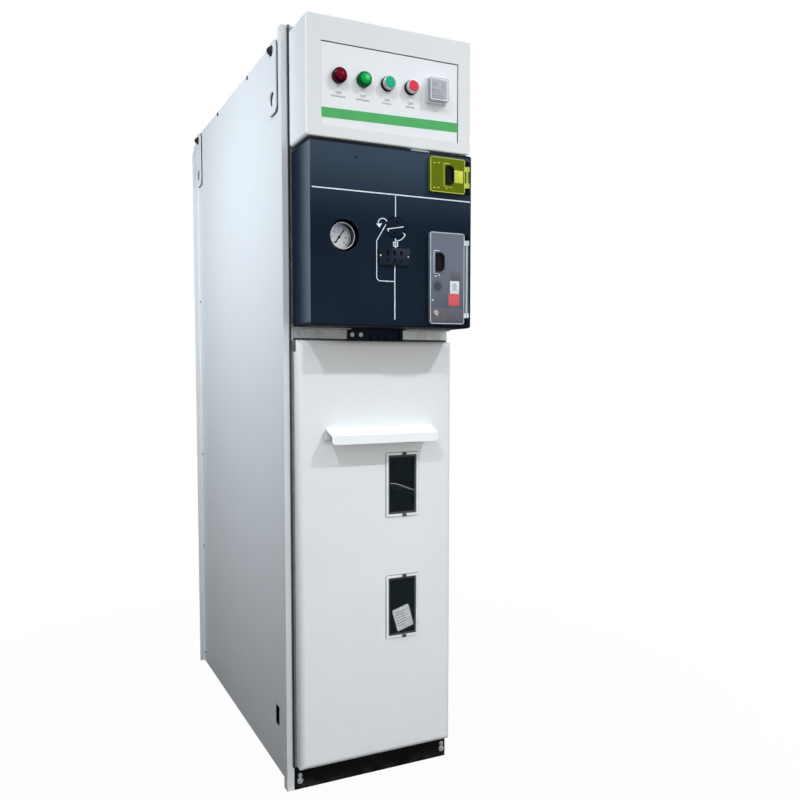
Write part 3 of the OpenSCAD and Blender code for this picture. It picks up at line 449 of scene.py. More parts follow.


# Lifting lugs. White coated steel plates that hang from one bolt each beside the side sheets until they are
# turned up for a shackle, the half of each next to the sheet painted dark as painted shade of the gap behind
# it; the bolts are black hexagon heads on washers.
lug_coat = white_powder("lug_coat")
lug_skin = 2.4 * mm
left_lug, right_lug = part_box("lifting_lugs_left")[0].x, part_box("lifting_lugs_right")[1].x
# Painted shade: the half of each lug next to the sheet is dark, for the gap behind it.
lug_gap_shade = within(lug_coat, 0, lug_skin / 8, left=left_lug + lug_skin, right=right_lug - lug_skin)
laid_over(lug_coat, tone(52, 56, 62), lug_gap_shade)
dress(lug_coat, "lifting_lugs_left", "lifting_lugs_right")
washer = np.array([(11, 0), (11, 1.6), (10.4, 2)]) * mm
hexagon = np.array([(8, 2), (8, 6.4), (7, 7.4)]) * mm
stud = np.array([(4.6, 7), (4.6, 9), (4, 9.6)]) * mm
bolt_in, bolt_down = 27 * mm, 18 * mm
lug_bolts = []
for node, facing, face in (("lifting_lugs_left", facing_left, left_lug),
                           ("lifting_lugs_right", facing_right, right_lug)):
    low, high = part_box(node)
    for y in (low.y + bolt_in, high.y - bolt_in):
        lug_bolts += [turned(profile, (face, y, high.z - bolt_down), facing, sides)
                      for profile, sides in ((washer, 32), (hexagon, 6), (stud, 20))]
piece("lug_bolts", lug_bolts, dark_screw, "case")


# Interlock. A black moulded block between two galvanised angles in the gap under the cover, the right one
# painted paler than the left as painted light against the shade it stands in, with an open fork for the lock
# lever and two white plugs; a black band along the angles' lower edges is painted shade of the gap above the
# front panel.
rail_shade_h = 4 * mm
# The right angle's paler tones are painted light; the black band at each angle's foot is painted shade.
for node, dark, light in (("middle_rail_left", tone(138, 142, 146), tone(178, 182, 185)),
                          ("middle_rail_right", tone(178, 182, 185), tone(224, 227, 228))):
    rail_zinc = galvanised(node + "_zinc", 0.3, dark, light)
    gap_shade_band = within(rail_zinc, 0, rail_shade_h / 8, top=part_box(node)[0].z + rail_shade_h)
    laid_over(rail_zinc, tone(14, 16, 20), gap_shade_band)
    dress(rail_zinc, node)
black_moulding = coated("black_moulding", tone(11, 24, 40), tone(18, 32, 50), 40, 800, (0.34, 0.5), 0.35,
                        {"Specular IOR Level": 0.06})
white_moulding = coated("white_moulding", tone(226, 226, 222), tone(206, 206, 202), 60, 800, (0.35, 0.5), 0.2)
dress(black_moulding, "interlock_block")
dress(white_moulding, "interlock_plugs")


# Front panel and handle. A folded pan of white coated sheet that hooks on the posts, with a bent sheet
# handle across it; the handle's coat is a brighter, smoother white.
handle_coat = coated("handle_coat", tone(243, 246, 247), tone(239, 242, 244), 8, 420, (0.28, 0.36), 0.06)
dress(white_coat, "front_panel")
dress(handle_coat, "panel_handle")


# Windows. Two clear panes behind pale moulded rims, each in a dark gasket and held by a clip at the top
# and at the bottom; a small card leans behind the lower pane and a thin wire crosses behind the upper one.
def outline(width, height, radius, steps=5):
    """Rectangle with round corners: corner k is the arc from k to k + 1 quarter turns about its centre."""
    t = (np.arange(4)[:, None] * np.pi / 2 + np.linspace(0, np.pi / 2, steps)).ravel()
    side, end = np.repeat([1, -1, -1, 1], steps), np.repeat([1, 1, -1, -1], steps)
    return np.stack([side * (width / 2 - radius) + radius * np.cos(t),
                     end * (height / 2 - radius) + radius * np.sin(t)], -1)


def spun(points, angle):
    """Points of a plane turned about its origin: x cos a - z sin a, x sin a + z cos a."""
    return points @ np.array([[math.cos(angle), math.sin(angle)], [-math.sin(angle), math.cos(angle)]])


def slab(size, radius, edge, centre, turn=0.0, closed=False):
    """Round-cornered plate facing the front: for each (d, h) of its edge a ring at height h, the outline
    drawn in by d and turned in its plane. Closed joins the last ring to the first, which makes a frame."""
    rings = []
    for d, h in edge:
        ring = outline(size[0] - 2 * d, size[1] - 2 * d, max(radius - d, 0.1 * mm))
        rings.append(np.column_stack([spun(ring, turn), np.full(len(ring), h)]))
    return loft(np.stack(rings) @ facing_front + np.array(centre), closed)


def flat_ring(start, end, height):
    """Closed section of a flat ring: up at the start, across and down at the end."""
    return [(start, 0), (start, height), (end, height), (end, 0)]


def ribbon(path, width, height, origin):
    """Flat bar carried along a path in the front's plane: half the width to each side of every point along
    its mitred normal, and the height outwards."""
    p = np.array(path, float)
    step = np.diff(p, axis=0)
    step /= np.linalg.norm(step, axis=1, keepdims=True)
    before, after = np.vstack([step[:1], step]), np.vstack([step, step[-1:]])
    square = np.stack([-after[:, 1], after[:, 0]], -1)
    normal = np.stack([-before[:, 1] - after[:, 1], before[:, 0] + after[:, 0]], -1)
    normal /= np.sum(normal * square, axis=1, keepdims=True)
    side, rise = np.array([1, 1, -1, -1]) * width / 2, np.array([0, height, height, 0])
    flat = p[:, None] + normal[:, None] * side[:, None]
    local = np.concatenate([flat, np.broadcast_to(rise[:, None], (len(p), 4, 1))], -1)
    return loft(local @ facing_front + np.array(origin))


pale_moulding = coated("pale_moulding", tone(236, 238, 240), tone(226, 229, 232), 50, 700, (0.4, 0.55), 0.25)
dress(pale_moulding, "window_rims")
pane_clear = coated("pane_clear", (0.93, 0.96, 0.98, 1), (0.89, 0.93, 0.95, 1), 14, 90, (0.02, 0.07), 0,
                    {"Transmission Weight": 1.0, "IOR": 1.29, "Specular Tint": (0.5, 0.8, 1.0, 1)})
dress(pane_clear, "window_panes")
gasket_rubber = coated("gasket_rubber", tone(62, 65, 69), tone(48, 51, 55), 80, 900, (0.45, 0.6), 0.3)
rims_low, rims_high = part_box("window_rims")
panes_low, panes_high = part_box("window_panes")
rim_w, window_w, window_h = 5 * mm, 69 * mm, 130 * mm
middle_x = (rims_low.x + rims_high.x) / 2
window_z = (rims_low.z + rim_w + window_h / 2, rims_high.z - rim_w - window_h / 2)
gasket_w, gasket_t, gasket_gap = 4.5 * mm, 1.4 * mm, 0.4 * mm
gaskets = [slab((window_w - gasket_gap, window_h - gasket_gap), 1.5 * mm, flat_ring(0, gasket_w, gasket_t),
                (middle_x, panes_low.y, z), closed=True) for z in window_z]
piece("window_gaskets", gaskets, gasket_rubber, "front_panel")
# A thin dark ring round each rim on the panel is painted shade of the gap round the rim.
shade_ring_w, shade_ring_t = 1.1 * mm, 0.5 * mm
shade_ring_size = (window_w + 2 * (rim_w + shade_ring_w), window_h + 2 * (rim_w + shade_ring_w))
rim_gap_rings = [slab(shade_ring_size, 3 * mm, flat_ring(0, 2 * shade_ring_w, shade_ring_t), (middle_x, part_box("front_panel")[0].y, z),
             closed=True) for z in window_z]
piece("rim_gap_shade", rim_gap_rings, gasket_rubber, "front_panel")
clip_size, clip_edge, clip_off = (10 * mm, 6 * mm), [(0, 0), (0, 1.6 * mm), (0.8 * mm, 2.4 * mm)], 4 * mm
clips = [slab(clip_size, mm, clip_edge, (middle_x + clip_off, rims_low.y, z + end * (window_h + rim_w) / 2))
         for z in window_z for end in (-1, 1)]
piece("window_clips", clips, gasket_rubber, "front_panel")

card_size, card_turn, card_t = (41.6 * mm, 50.5 * mm), math.radians(16.5), 0.1 * mm
card_at = np.array([middle_x + 4.3 * mm, panes_high.y + 0.6 * mm, window_z[0] - 29 * mm])
card_paper = coated("card_paper", tone(222, 222, 220), tone(198, 199, 200), 70, 500, (0.5, 0.65), 0.2)
card_edge = [(0, -4 * card_t), (0, 0), (2 * card_t, card_t)]
piece("window_card", [slab(card_size, 3 * mm, card_edge, card_at, card_turn)], card_paper,
      "front_panel")
card_rows = ((-14, 13, 16), (-15, 6, 10), (-15, 14, 4), (-15, 9, -2), (-15, 13, -8), (-15, -2, -14))
card_lines = [ribbon(spun(np.array([[x0, z], [x1, z]]) * mm, card_turn), 1.1 * mm, card_t / 2,
                     card_at - np.array([0, card_t, 0])) for x0, x1, z in card_rows]
piece("card_lines", card_lines, dark_screw, "front_panel")
wire_grey = coated("wire_grey", tone(238, 242, 244), tone(222, 227, 230), 80, 900, (0.4, 0.5), 0.1)
wire_w = 0.9 * mm
wire = np.array([[-34.5, 2.8], [-12.7, 1.2], [34.5, -16.6]]) * mm
wire_at = (middle_x, panes_high.y + 0.7 * wire_w, window_z[1])
piece("window_wire", [ribbon(wire, wire_w, wire_w / 2, wire_at)], wire_grey, "front_panel")


# Mechanism cover. A deep pan of blue-black coated sheet over the drive; the satin coat is finely textured and
# rubbed along its edges. It is painted paler towards the top as a painted sheen, with a painted sheen on its
# left wall near the front, a dark band of painted shade along its top edge and a paler patch on that edge.
# Wear: where a rounded normal parts from the true one there is an edge; noise breaks it into rubs.
wear, taken, given = new_group(
    "wear", {"Position": "Vector", "Radius": "Float", "Patch": "Float", "Amount": "Float"}, {"Mask": "Float"})
rounded = add(wear, "ShaderNodeBevel", {"samples": 6}, {"Radius": taken["Radius"]}).outputs[0]
unrounded = add(wear, "ShaderNodeNewGeometry").outputs["Normal"]
edge = ramp(wear, vector(wear, "DOT_PRODUCT", rounded, unrounded), 0.97, 0.8, curve="LINEAR")
rubs = ramp(wear, noise(wear, taken["Position"], taken["Patch"], 6.0), 0.5, 0.66, curve="LINEAR")
both = reckon(wear, "MULTIPLY", edge, rubs)
wear.links.new(reckon(wear, "MULTIPLY", both, taken["Amount"]), given["Mask"])

cover_low, cover_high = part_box("mechanism_cover")
cover_coat = coated("cover_coat", tone(14, 28, 43), tone(18, 32, 48), 4, 520, (0.34, 0.44), 0.30,
                    {"Specular IOR Level": 0.05})
sheen_h, fold, sheen_w = 170 * mm, 4 * mm, 72 * mm
patch_x, patch_w = cover_low.x + 242 * mm, 44 * mm
# Painted sheen: paler towards the top.
laid_over(cover_coat, tone(58, 72, 89), within(cover_coat, 0, sheen_h, bottom=cover_high.z - sheen_h))
# The left wall is set back to the base tone, then given a painted sheen near its front edge.
side_wall = within(cover_coat, 0, fold / 8, right=cover_low.x + fold / 4)
laid_over(cover_coat, tone(18, 30, 45), side_wall)
side_sheen = within(cover_coat, 0, sheen_w, back=cover_low.y + sheen_w)
laid_over(cover_coat, tone(101, 111, 122), side_wall, side_sheen)
# Painted shade: a dark band along the top edge.
laid_over(cover_coat, tone(10, 14, 20), within(cover_coat, 2 * fold, fold, top=cover_high.z))
# A paler patch along the top edge.
top_edge_patch = within(cover_coat, 0, 0.7 * fold, left=patch_x - patch_w / 2, right=patch_x + patch_w / 2,
               bottom=cover_high.z - 1.2 * fold)
laid_over(cover_coat, tone(168, 178, 187), top_edge_patch)
tree = cover_coat.node_tree
rubbed = add(tree, "ShaderNodeGroup", {"node_tree": wear},
             {"Position": place(tree), "Radius": 3 * mm, "Patch": 26.0, "Amount": 0.7}).outputs[0]
laid_over(cover_coat, tone(150, 158, 166), rubbed)
dress(cover_coat, "mechanism_cover")


def on_cover(x, z):
    """Point on the cover's face, from millimetres right of and above its lower left corner."""
    return np.array([cover_low.x + x * mm, cover_low.y, cover_low.z + z * mm])


pit = np.array([(2.4, 0), (2.4, 0.15), (1.9, 0.2), (1.6, 0.05)]) * mm
pits = [turned(pit, on_cover(x, z), sides=16) for x, z in ((26.6, 43.5), (97.2, 331.8))]
piece("cover_plugs", pits, black_moulding, "case")


# Switch diagram. White lines printed thickly on the cover: the bar across the top, the feeder through
# the switch, the branch to earth and the two turning arrows.
def arc(centre, r, start, end, steps=14):
    """Points on a circle of radius r from one angle to another, in degrees from the right, upwards."""
    t = np.radians(np.linspace(start, end, steps))
    return np.array(centre) + r * np.stack([np.cos(t), np.sin(t)], -1)


white_print = coated("white_print", tone(240, 246, 255), tone(226, 233, 245), 120, 900, (0.4, 0.55), 0.15)
print_t = 0.3 * mm
cover_corner = on_cover(0, 0)
cover_w = cover_high.x - cover_low.x
bar_z, feeder_x, lower_x = 266.5 * mm, 185.1 * mm, 183.4 * mm
bar_w, line_w, branch_w, arrow_w, contact_w = 2.2 * mm, 1.9 * mm, 1.6 * mm, 1.6 * mm, 2.3 * mm
edge_r, bend_r = 4 * mm, 8 * mm
branch_x, branch_z = 142.6 * mm, 92.0 * mm
branch = np.vstack([[[163.4 * mm, 205.4 * mm], [branch_x, 172.0 * mm]],
                    arc((branch_x + bend_r, branch_z + bend_r), bend_r, 180, 270, 8), [[lower_x, branch_z]]])
earthing_arrow = arc((156.5 * mm, 206.5 * mm), 10.7 * mm, 30, 175)
switch_arrow = arc((186.5 * mm, 196.5 * mm), 22.2 * mm, -85, -22)
switch_barb = [switch_arrow[-1], switch_arrow[-1] + np.array([-5.0, 2.8]) * mm]
lines = [([[edge_r, bar_z], [cover_w - edge_r, bar_z]], bar_w),
         ([[feeder_x, bar_z], [feeder_x, 222.0 * mm]], line_w),
         ([[lower_x, 126.0 * mm], [lower_x, 15.0 * mm]], line_w),
         (branch, branch_w), (earthing_arrow, arrow_w), (switch_arrow, arrow_w), (switch_barb, arrow_w),
         ([[feeder_x, 178.5 * mm], [feeder_x, 159.5 * mm]], contact_w)]
diagram = [ribbon(path, width, print_t, cover_corner) for path, width in lines]
diagram.append(slab((10.8 * mm, 10.5 * mm), 1.4 * mm, flat_ring(0, 2.0 * mm, print_t), on_cover(185.2, 167.2),
                    closed=True))


def arrow_head(tip, heading, length, width):
    """Flat triangle on the cover with its tip at a point, its heading in degrees and a square back."""
    t = math.radians(heading)
    ahead, aside = np.array([math.cos(t), math.sin(t)]), np.array([-math.sin(t), math.cos(t)]) * width / 2
    back = np.array(tip) - ahead * length
    ring = np.array([tip, back + aside, back - aside])
    rings = np.stack([np.column_stack([ring, np.full(3, h)]) for h in (0, print_t)])
    return loft(rings @ facing_front + cover_corner)


diagram.append(arrow_head((148.8 * mm, 198.2 * mm), -85, 8.2 * mm, 13.2 * mm))
piece("switch_diagram", diagram, white_print, "case")


# Gauge. A pressure gauge in a black case behind a hole in the cover: white printed dial with a plain
# scale deep in the case, the dial painted darker towards its top as painted shade, black needle, a black
# part-ring round the top and right of the dial as painted shade of the case wall, clear glass and a plated
# bezel.
def front_middle(node):
    """Middle of a piece's front, from its box."""
    low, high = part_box(node)
    return np.array([(low.x + high.x) / 2, low.y, (low.z + high.z) / 2])


dial_paint = coated("dial_paint", tone(249, 252, 255), tone(242, 247, 255), 40, 900, (0.4, 0.5), 0.1)
needle_paint = coated("needle_paint", tone(5, 7, 11), tone(10, 12, 17), 90, 900, (0.4, 0.55), 0.2,
                      {"Specular IOR Level": 0.01})
rim_plate = coated("rim_plate", tone(236, 241, 252), tone(224, 230, 242), 60, 1200, (0.2, 0.32), 0.1,
                   {"Metallic": 0.2})
gauge_clear = coated("gauge_clear", (0.97, 0.98, 0.98, 1), (0.93, 0.95, 0.95, 1), 30, 90, (0.01, 0.05), 0,
                     {"Transmission Weight": 1.0, "IOR": 1.2})
dial_low, dial_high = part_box("gauge_dial")
glass_low, glass_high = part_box("gauge_glass")
dial_at, dial_r = front_middle("gauge_dial"), (dial_high.x - dial_low.x) / 2
shaded = within(dial_paint, 0, 1.5 * dial_r, bottom=dial_at[2] - dial_r / 2)
laid_over(dial_paint, tone(172, 180, 202), shaded)
bezel = flat_ring(dial_r - 1.3 * mm, dial_r - 0.1 * mm, 0.3 * mm)
bezel_at = (dial_at[0], glass_low.y, dial_at[2])
piece("gauge_bezel", [turned(bezel, bezel_at, sides=64, closed=True)], rim_plate, "case")
dress(dial_paint, "gauge_dial")
dress(needle_paint, "gauge_needle", "gauge_case")
dress(gauge_clear, "gauge_glass")


def lettering(words, height, centre):
    """Flat letters of a height, centred on a point of the front: the built-in font's outline as a mesh."""
    curve = bpy.data.curves.new("letters", "FONT")
    curve.body = words
    curve.size, curve.extrude, curve.offset = height / 0.72, 0.05 * mm, height / 30
    curve.align_x, curve.align_y = "CENTER", "CENTER"
    holder = bpy.data.objects.new("letters", curve)
    scene.collection.objects.link(holder)
    bpy.context.view_layer.update()
    mesh = bpy.data.meshes.new_from_object(holder.evaluated_get(bpy.context.evaluated_depsgraph_get()))
    points = np.empty(3 * len(mesh.vertices))
    mesh.vertices.foreach_get("co", points)
    faces = [np.array(face.vertices) for face in mesh.polygons]
    bpy.data.objects.remove(holder)
    bpy.data.meshes.remove(mesh)
    return points.reshape(-1, 3) @ facing_front + np.array(centre), np.empty((0, 4), int), faces


scale_from, scale_to, scale_r, number_r = 225.0, -45.0, 22.6 * mm, 15.0 * mm
tick_t, number_h = 0.12 * mm, 3.8 * mm
long_tick, short_tick = (4.0 * mm, 0.9 * mm), (2.2 * mm, 0.5 * mm)
ticks = []
for k, angle in enumerate(np.radians(np.linspace(scale_from, scale_to, 31))):
    ray = np.array([math.cos(angle), math.sin(angle)])
    length, width = long_tick if k % 5 == 0 else short_tick
    ticks.append(ribbon([ray * (scale_r - length), ray * scale_r], width, tick_t, dial_at))
ticks.append(ribbon(arc((0, 0), scale_r, scale_from, scale_to, 60), short_tick[1], tick_t, dial_at))
for k, angle in enumerate(np.radians(np.linspace(scale_from, scale_to, 7))):
    at = dial_at + np.array([math.cos(angle), 0, math.sin(angle)]) * number_r
    ticks.append(lettering(str(2 * k), number_h, at))
piece("dial_scale", ticks, needle_paint, "case")
needle_low, needle_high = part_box("gauge_needle")
blade = [[needle_low.x, needle_low.z], [needle_high.x, needle_high.z]]
piece("needle_blade", [ribbon(blade, 2.1 * mm, 0.2 * mm, (0, needle_low.y, 0))], needle_paint,
      "case")
green_paint = coated("green_paint", tone(150, 182, 146), tone(140, 170, 134), 60, 900, (0.4, 0.5), 0.1)
zone_r, zone_w, zone_from = 24.2 * mm, 1.9 * mm, 35
piece("dial_zone", [ribbon(arc((0, 0), zone_r, zone_from, scale_to, 24), zone_w, tick_t, dial_at)],
      green_paint, "case")
# A black part-ring over the dial's top and right edge is painted shade of the case wall.
wall_shade_gap, wall_shade_t, wall_shade_h = 0.05 * mm, 0.5 * mm, dial_low.y - glass_high.y - 0.2 * mm
wall_shade_r = np.array([dial_r - wall_shade_gap, dial_r - wall_shade_gap, dial_r - wall_shade_t, dial_r - wall_shade_t])
wall_shade_z = np.array([wall_shade_gap, wall_shade_h, wall_shade_h, wall_shade_gap])
t = np.radians(np.linspace(-60, 165, 48))
wall_shade_rings = np.stack([np.outer(np.cos(t), wall_shade_r), np.outer(np.sin(t), wall_shade_r),
                         np.broadcast_to(wall_shade_z, (len(t), 4))], -1)
piece("gauge_wall_shade", [loft(wall_shade_rings @ facing_front + dial_at)], black_moulding, "case")


# Position indicator. A black disc on the switch shaft, flush in the cover and ringed by a thin black band of
# painted shade for the gap round it, with a white bar that shows how the switch blade lies and two small peg
# holes.
dress(black_moulding, "position_indicator")
disc_low, disc_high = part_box("position_indicator")
disc_at, disc_r = front_middle("position_indicator"), (disc_high.x - disc_low.x) / 2
# Painted shade: a black ring for the gap round the disc.
disc_gap_shade = flat_ring(disc_r + 0.3 * mm, disc_r + 1.9 * mm, 0.1 * mm)
disc_gap_at = (disc_at[0], cover_low.y, disc_at[2])
piece("indicator_gap_shade", [turned(disc_gap_shade, disc_gap_at, sides=48, closed=True)], needle_paint, "case")
bar = np.array([[-16.2, -9.6], [-18.4, -4.4], [18.2, 2.5]]) * mm
piece("indicator_bar", [ribbon(bar, 1.8 * mm, print_t, disc_at)], white_print,
      "position_indicator")
peg = np.array([(2.0, 0), (2.0, 0.3), (1.4, 0.3), (1.2, 0.05)]) * mm
pegs = [turned(peg, disc_at + np.array([x, 0, z]) * mm, sides=16) for x, z in ((3.4, 10.9), (-4.3, -12.1))]
piece("indicator_pegs", pegs, needle_paint, "position_indicator")


# Voltage indicator. A dark moulded plate with three pairs of test sockets, fixed to the cover by a bright
# screw at each end; its face carries a little painted sheen towards the upper right, and all that lies deeper
# than its face, the sockets' insides and the plate's sides, is painted near black as painted shade.
plate_low, plate_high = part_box("voltage_indicator")
plate_z = (plate_low.z + plate_high.z) / 2
socket_plate = coated("socket_plate", tone(20, 30, 42), tone(26, 36, 49), 40, 800, (0.34, 0.5), 0.35,
                      {"Specular IOR Level": 0.06})
sheen = within(socket_plate, 0, 30 * mm, left=plate_low.x + 18 * mm, bottom=plate_z - 15 * mm)
laid_over(socket_plate, tone(50, 54, 68), sheen)
plate_t = 0.4 * mm
# Painted shade: near black deeper than the face, in the sockets and on the plate's sides.
laid_over(socket_plate, tone(3, 4, 6), within(socket_plate, 0, plate_t, front=plate_low.y + plate_t))
dress(socket_plate, "voltage_indicator")
plate_screws = [screw(facing_front, (x, plate_low.y, plate_z + mm), r)
                for x, r in ((plate_low.x + 3.3 * mm, 1.9 * mm), (plate_high.x - 4.0 * mm, 1.4 * mm))]
piece("plate_screws", sum(plate_screws, []), rim_plate, "case")


# Lids. Trays of clear plastic, yellow-green above and smoke grey below, hinged on the right over the
# operating sockets; painted highlights lie along their moulded edges and the bracket beside each latch.
lid_w, frame_t, frame_w, edge_w, knuckle_end = 82 * mm, 1.5 * mm, 5 * mm, 1.9 * mm, 24 * mm
pin_r, knuckle_gap = 2 * mm, 0.3 * mm
upper_low, lower_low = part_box("upper_lid")[0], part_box("lower_lid")[0]


def on_lid(low, x, z):
    """Point on a lid's face, from millimetres right of and above its lower left corner."""
    return np.array([low.x + x * mm, low.y + frame_t, low.z + z * mm])


def around(material, centre, start, end):
    """Mask that goes from 0 to 1 as the distance from a fore-and-aft axis goes from start to end."""
    nodes = material.node_tree
    off_axis = vector(nodes, "MULTIPLY", vector(nodes, "SUBTRACT", place(nodes), centre), (1, 0, 1))
    return ramp(nodes, vector(nodes, "LENGTH", off_axis), start, end)


def clear_lid(name, node, latch, tint, shade, top_light_tint, top_light_reach, bright):
    """Tinted clear plastic with painted light: its tone changes with height, painted highlights run along its
    outline, its latch bracket and the middle and ends of its knuckle, and the rest of the knuckle is darkened
    as painted shade."""
    made = coated(name, tint, shade, 22, 300, (0.12, 0.24), 0.08,
                  {"Transmission Weight": 0.25, "IOR": 1.3, "Specular IOR Level": 0.15})
    low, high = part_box(node)
    latch_low, latch_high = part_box(latch)
    tray_end = low.x + lid_w
    pin_x = (tray_end + high.x) / 2
    # Painted light: the tone changes towards the top.
    laid_over(made, top_light_tint, within(made, 0, top_light_reach, bottom=low.z))
    # Painted highlights along the outline and round the latch bracket.
    front = within(made, 0, edge_w / 4, back=low.y + frame_t + edge_w / 2)
    sides = within(made, edge_w, edge_w / 2, left=low.x, right=tray_end, bottom=low.z, top=high.z)
    laid_over(made, bright, front, sides)
    proud = within(made, 0, frame_t / 5, back=low.y + frame_t / 2)
    bracket = within(made, edge_w, edge_w / 2, left=latch_low.x - frame_w, bottom=latch_low.z - frame_w,
                     top=latch_high.z + frame_w)
    laid_over(made, bright, proud, bracket)
    # The knuckle is darkened as painted shade, with painted highlights at its middle and ends.
    knuckle = within(made, 0, 0.2 * mm, left=tray_end + knuckle_gap)
    laid_over(made, shade, knuckle)
    laid_over(made, bright, knuckle, within(made, 0, 0.6 * pin_r, left=pin_x - pin_r, right=pin_x + pin_r))
    ends = within(made, 0, -mm, bottom=low.z + knuckle_end, top=high.z - knuckle_end)
    laid_over(made, bright, knuckle, ends)
    dress(made, node)
    return made


clear_lid("yellow_clear", "upper_lid", "upper_latch", tone(122, 136, 6), tone(106, 120, 5),
          tone(116, 130, 8), 70 * mm, tone(226, 238, 110))
smoke_clear = clear_lid("smoke_clear", "lower_lid", "lower_latch", tone(100, 107, 120), tone(92, 99, 112),
                        tone(124, 132, 146), 130 * mm, tone(240, 244, 249))
socket_shade = around(smoke_clear, on_lid(lower_low, 17.5, 77.5), 15 * mm, 5 * mm)
laid_over(smoke_clear, tone(80, 85, 96), socket_shade)
latch_black = coated("latch_black", tone(6, 8, 11), tone(12, 14, 18), 40, 800, (0.25, 0.4), 0.3,
                     {"Specular IOR Level": 0.12})
dress(latch_black, "upper_latch", "lower_latch", "upper_hinge", "lower_hinge")

film_edge = [(0, 0), (0, 0.25 * mm), (0.15 * mm, 0.3 * mm)]


def film(name, tint, shade):
    """Printed film of two near tones."""
    return coated(name, tint, shade, 90, 700, (0.4, 0.55), 0.15)


def lid_films(low, places):
    """Films on a lid's face, each with its middle and its size in millimetres."""
    return [slab((w * mm, h * mm), mm, film_edge, on_lid(low, x, z)) for x, z, w, h in places]


yellow_film = film("yellow_film", tone(206, 216, 62), tone(192, 203, 52))
white_film = film("white_film", tone(228, 230, 234), tone(214, 217, 222))
red_film = film("red_film", tone(214, 82, 88), tone(201, 70, 77))
grey_film = film("grey_film", tone(86, 84, 94), tone(78, 77, 86))
white_x, white_z = 58.3, 76.4
# Small raised marks in the bright film colours are painted glints on the lids.
upper_glints = ((9.4, 58.2), (19.4, 59.2), (9.6, 7.9), (18.7, 8.8), (38.3, 9.4), (48.5, 11.5))
lower_glints = ((6.1, 48.4), (12.7, 98.6), (20.7, 100.4))
glint_size = (4.6, 2.4)
piece("upper_film", lid_films(upper_low, [(67.0, 34.6, 21, 25.5)]), yellow_film, "upper_lid")
piece("lower_white_film", lid_films(lower_low, [(white_x, white_z, 21.8, 26.4)]), white_film,
      "lower_lid")
piece("lower_red_film", lid_films(lower_low, [(57.1, 50.5, 26, 25)]), red_film, "lower_lid")
piece("lower_grey_films", lid_films(lower_low, [(59.0, 98.8, 25, 18), (41.0, 18.5, 79, 28)]), grey_film,
      "lower_lid")
piece("upper_glints", lid_films(upper_low, [(*at, *glint_size) for at in upper_glints]), yellow_film,
      "upper_lid")
piece("lower_glints", lid_films(lower_low, [(*at, *glint_size) for at in lower_glints]), white_film,
      "lower_lid")
rules_at = on_lid(lower_low, white_x, white_z) - np.array([0, film_edge[-1][1], 0])
film_rules = [ribbon(np.array([[-half, z], [half, z]]) * mm, 1.5 * mm, 0.1 * mm, rules_at)
              for half, z in ((4, 7), (6, 3), (5, -1), (6, -5))]
piece("film_rules", film_rules, grey_film, "lower_lid")
plated = coated("plated", tone(205, 207, 210), tone(178, 181, 185), 60, 1200, (0.16, 0.28), 0.1,
                {"Metallic": 1.0})
lock_at = on_lid(lower_low, 14.0, 22.3)
lock = np.array([(6.6, 0), (6.6, 1.6), (5.6, 2.4), (4.4, 2.4), (4.2, 1.2)]) * mm
slot_bar = slab((1.8 * mm, 6.5 * mm), 0.6 * mm, [(0, 1.1 * mm), (0, 1.9 * mm)], lock_at)
piece("lid_lock", [turned(lock, lock_at), slot_bar], plated, "lower_lid")


# Instrument box and inset plate. A folded white box on top with a plate let into its front; a green film
# band runs across the plate and plain captions stand under the controls.
plate_coat = coated("plate_coat", tone(238, 241, 244), tone(235, 238, 241), 6, 420, (0.34, 0.44), 0.08,
                    {"Specular IOR Level": 0.3})
dress(white_coat, "instrument_box")
dress(plate_coat, "inset_plate")
inset_low, inset_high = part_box("inset_plate")
inset_w, inset_h = inset_high.x - inset_low.x, inset_high.z - inset_low.z
green_film = coated("green_film", tone(66, 176, 92), tone(60, 168, 86), 30, 600, (0.35, 0.45), 0.12)
band, band_w, band_t = np.array([[0, 25.2 * mm], [inset_w, 31.0 * mm]]), 19.2 * mm, 0.25 * mm
piece("green_band", [ribbon(band, band_w, band_t, inset_low)], green_film, "case")
grey_print = coated("grey_print", tone(140, 142, 147), tone(130, 132, 138), 120, 900, (0.45, 0.6), 0.1)
collars_low, collars_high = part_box("control_collars")
collar_r = 14.25 * mm
control_x = np.linspace(collars_low.x + collar_r, collars_high.x - collar_r, 4)
control_z = (collars_low.z + collars_high.z) / 2
word_z, word_h, dash_z = control_z - 31.0 * mm, 5.4 * mm, control_z - 38.0 * mm
dash_l, dash_h, dash_t, dash_pitch = 2.1 * mm, 3.2 * mm, 0.1 * mm, 3.4 * mm
captions = []
for words, x, dashes in zip(("ON", "OFF", "ON", "OFF"), control_x, (9, 9, 6, 6)):
    captions.append(lettering(words, word_h, (x, inset_low.y, word_z)))
    captions += [ribbon([[start, 0], [start + dash_l, 0]], dash_h, dash_t, (x, inset_low.y, dash_z))
                 for start in (np.arange(dashes) - dashes / 2) * dash_pitch]
piece("captions", captions, grey_print, "case")
# Round the inset plate: a black line along its top and right is painted shade of the gap, and a white line
# along its left and bottom is painted light that hides the gap there.
seam_w, seam_t = 1.5 * mm, 0.1 * mm
shade_path = [[0, inset_h], [inset_w, inset_h], [inset_w, 0]]
light_path = [[0, inset_h], [0, 0], [inset_w, 0]]
piece("inset_gap_shade", [ribbon(shade_path, seam_w, seam_t, inset_low)], seal_rubber, "case")
piece("inset_gap_light", [ribbon(light_path, seam_w, seam_t, inset_low)], white_coat, "case")


# Lamps and buttons. Moulded lenses in ribbed skirts, and caps in bright rings on black collars, each
# clamped through the plate; a lens is painted darker at its rim as painted shade and paler near its middle as
# a painted highlight.
bezel_plate = coated("bezel_plate", tone(222, 225, 229), tone(206, 209, 214), 60, 900, (0.2, 0.3), 0.1,
                     {"Metallic": 0.35})
dress(black_moulding, "control_collars")
dress(bezel_plate, "button_bezels")


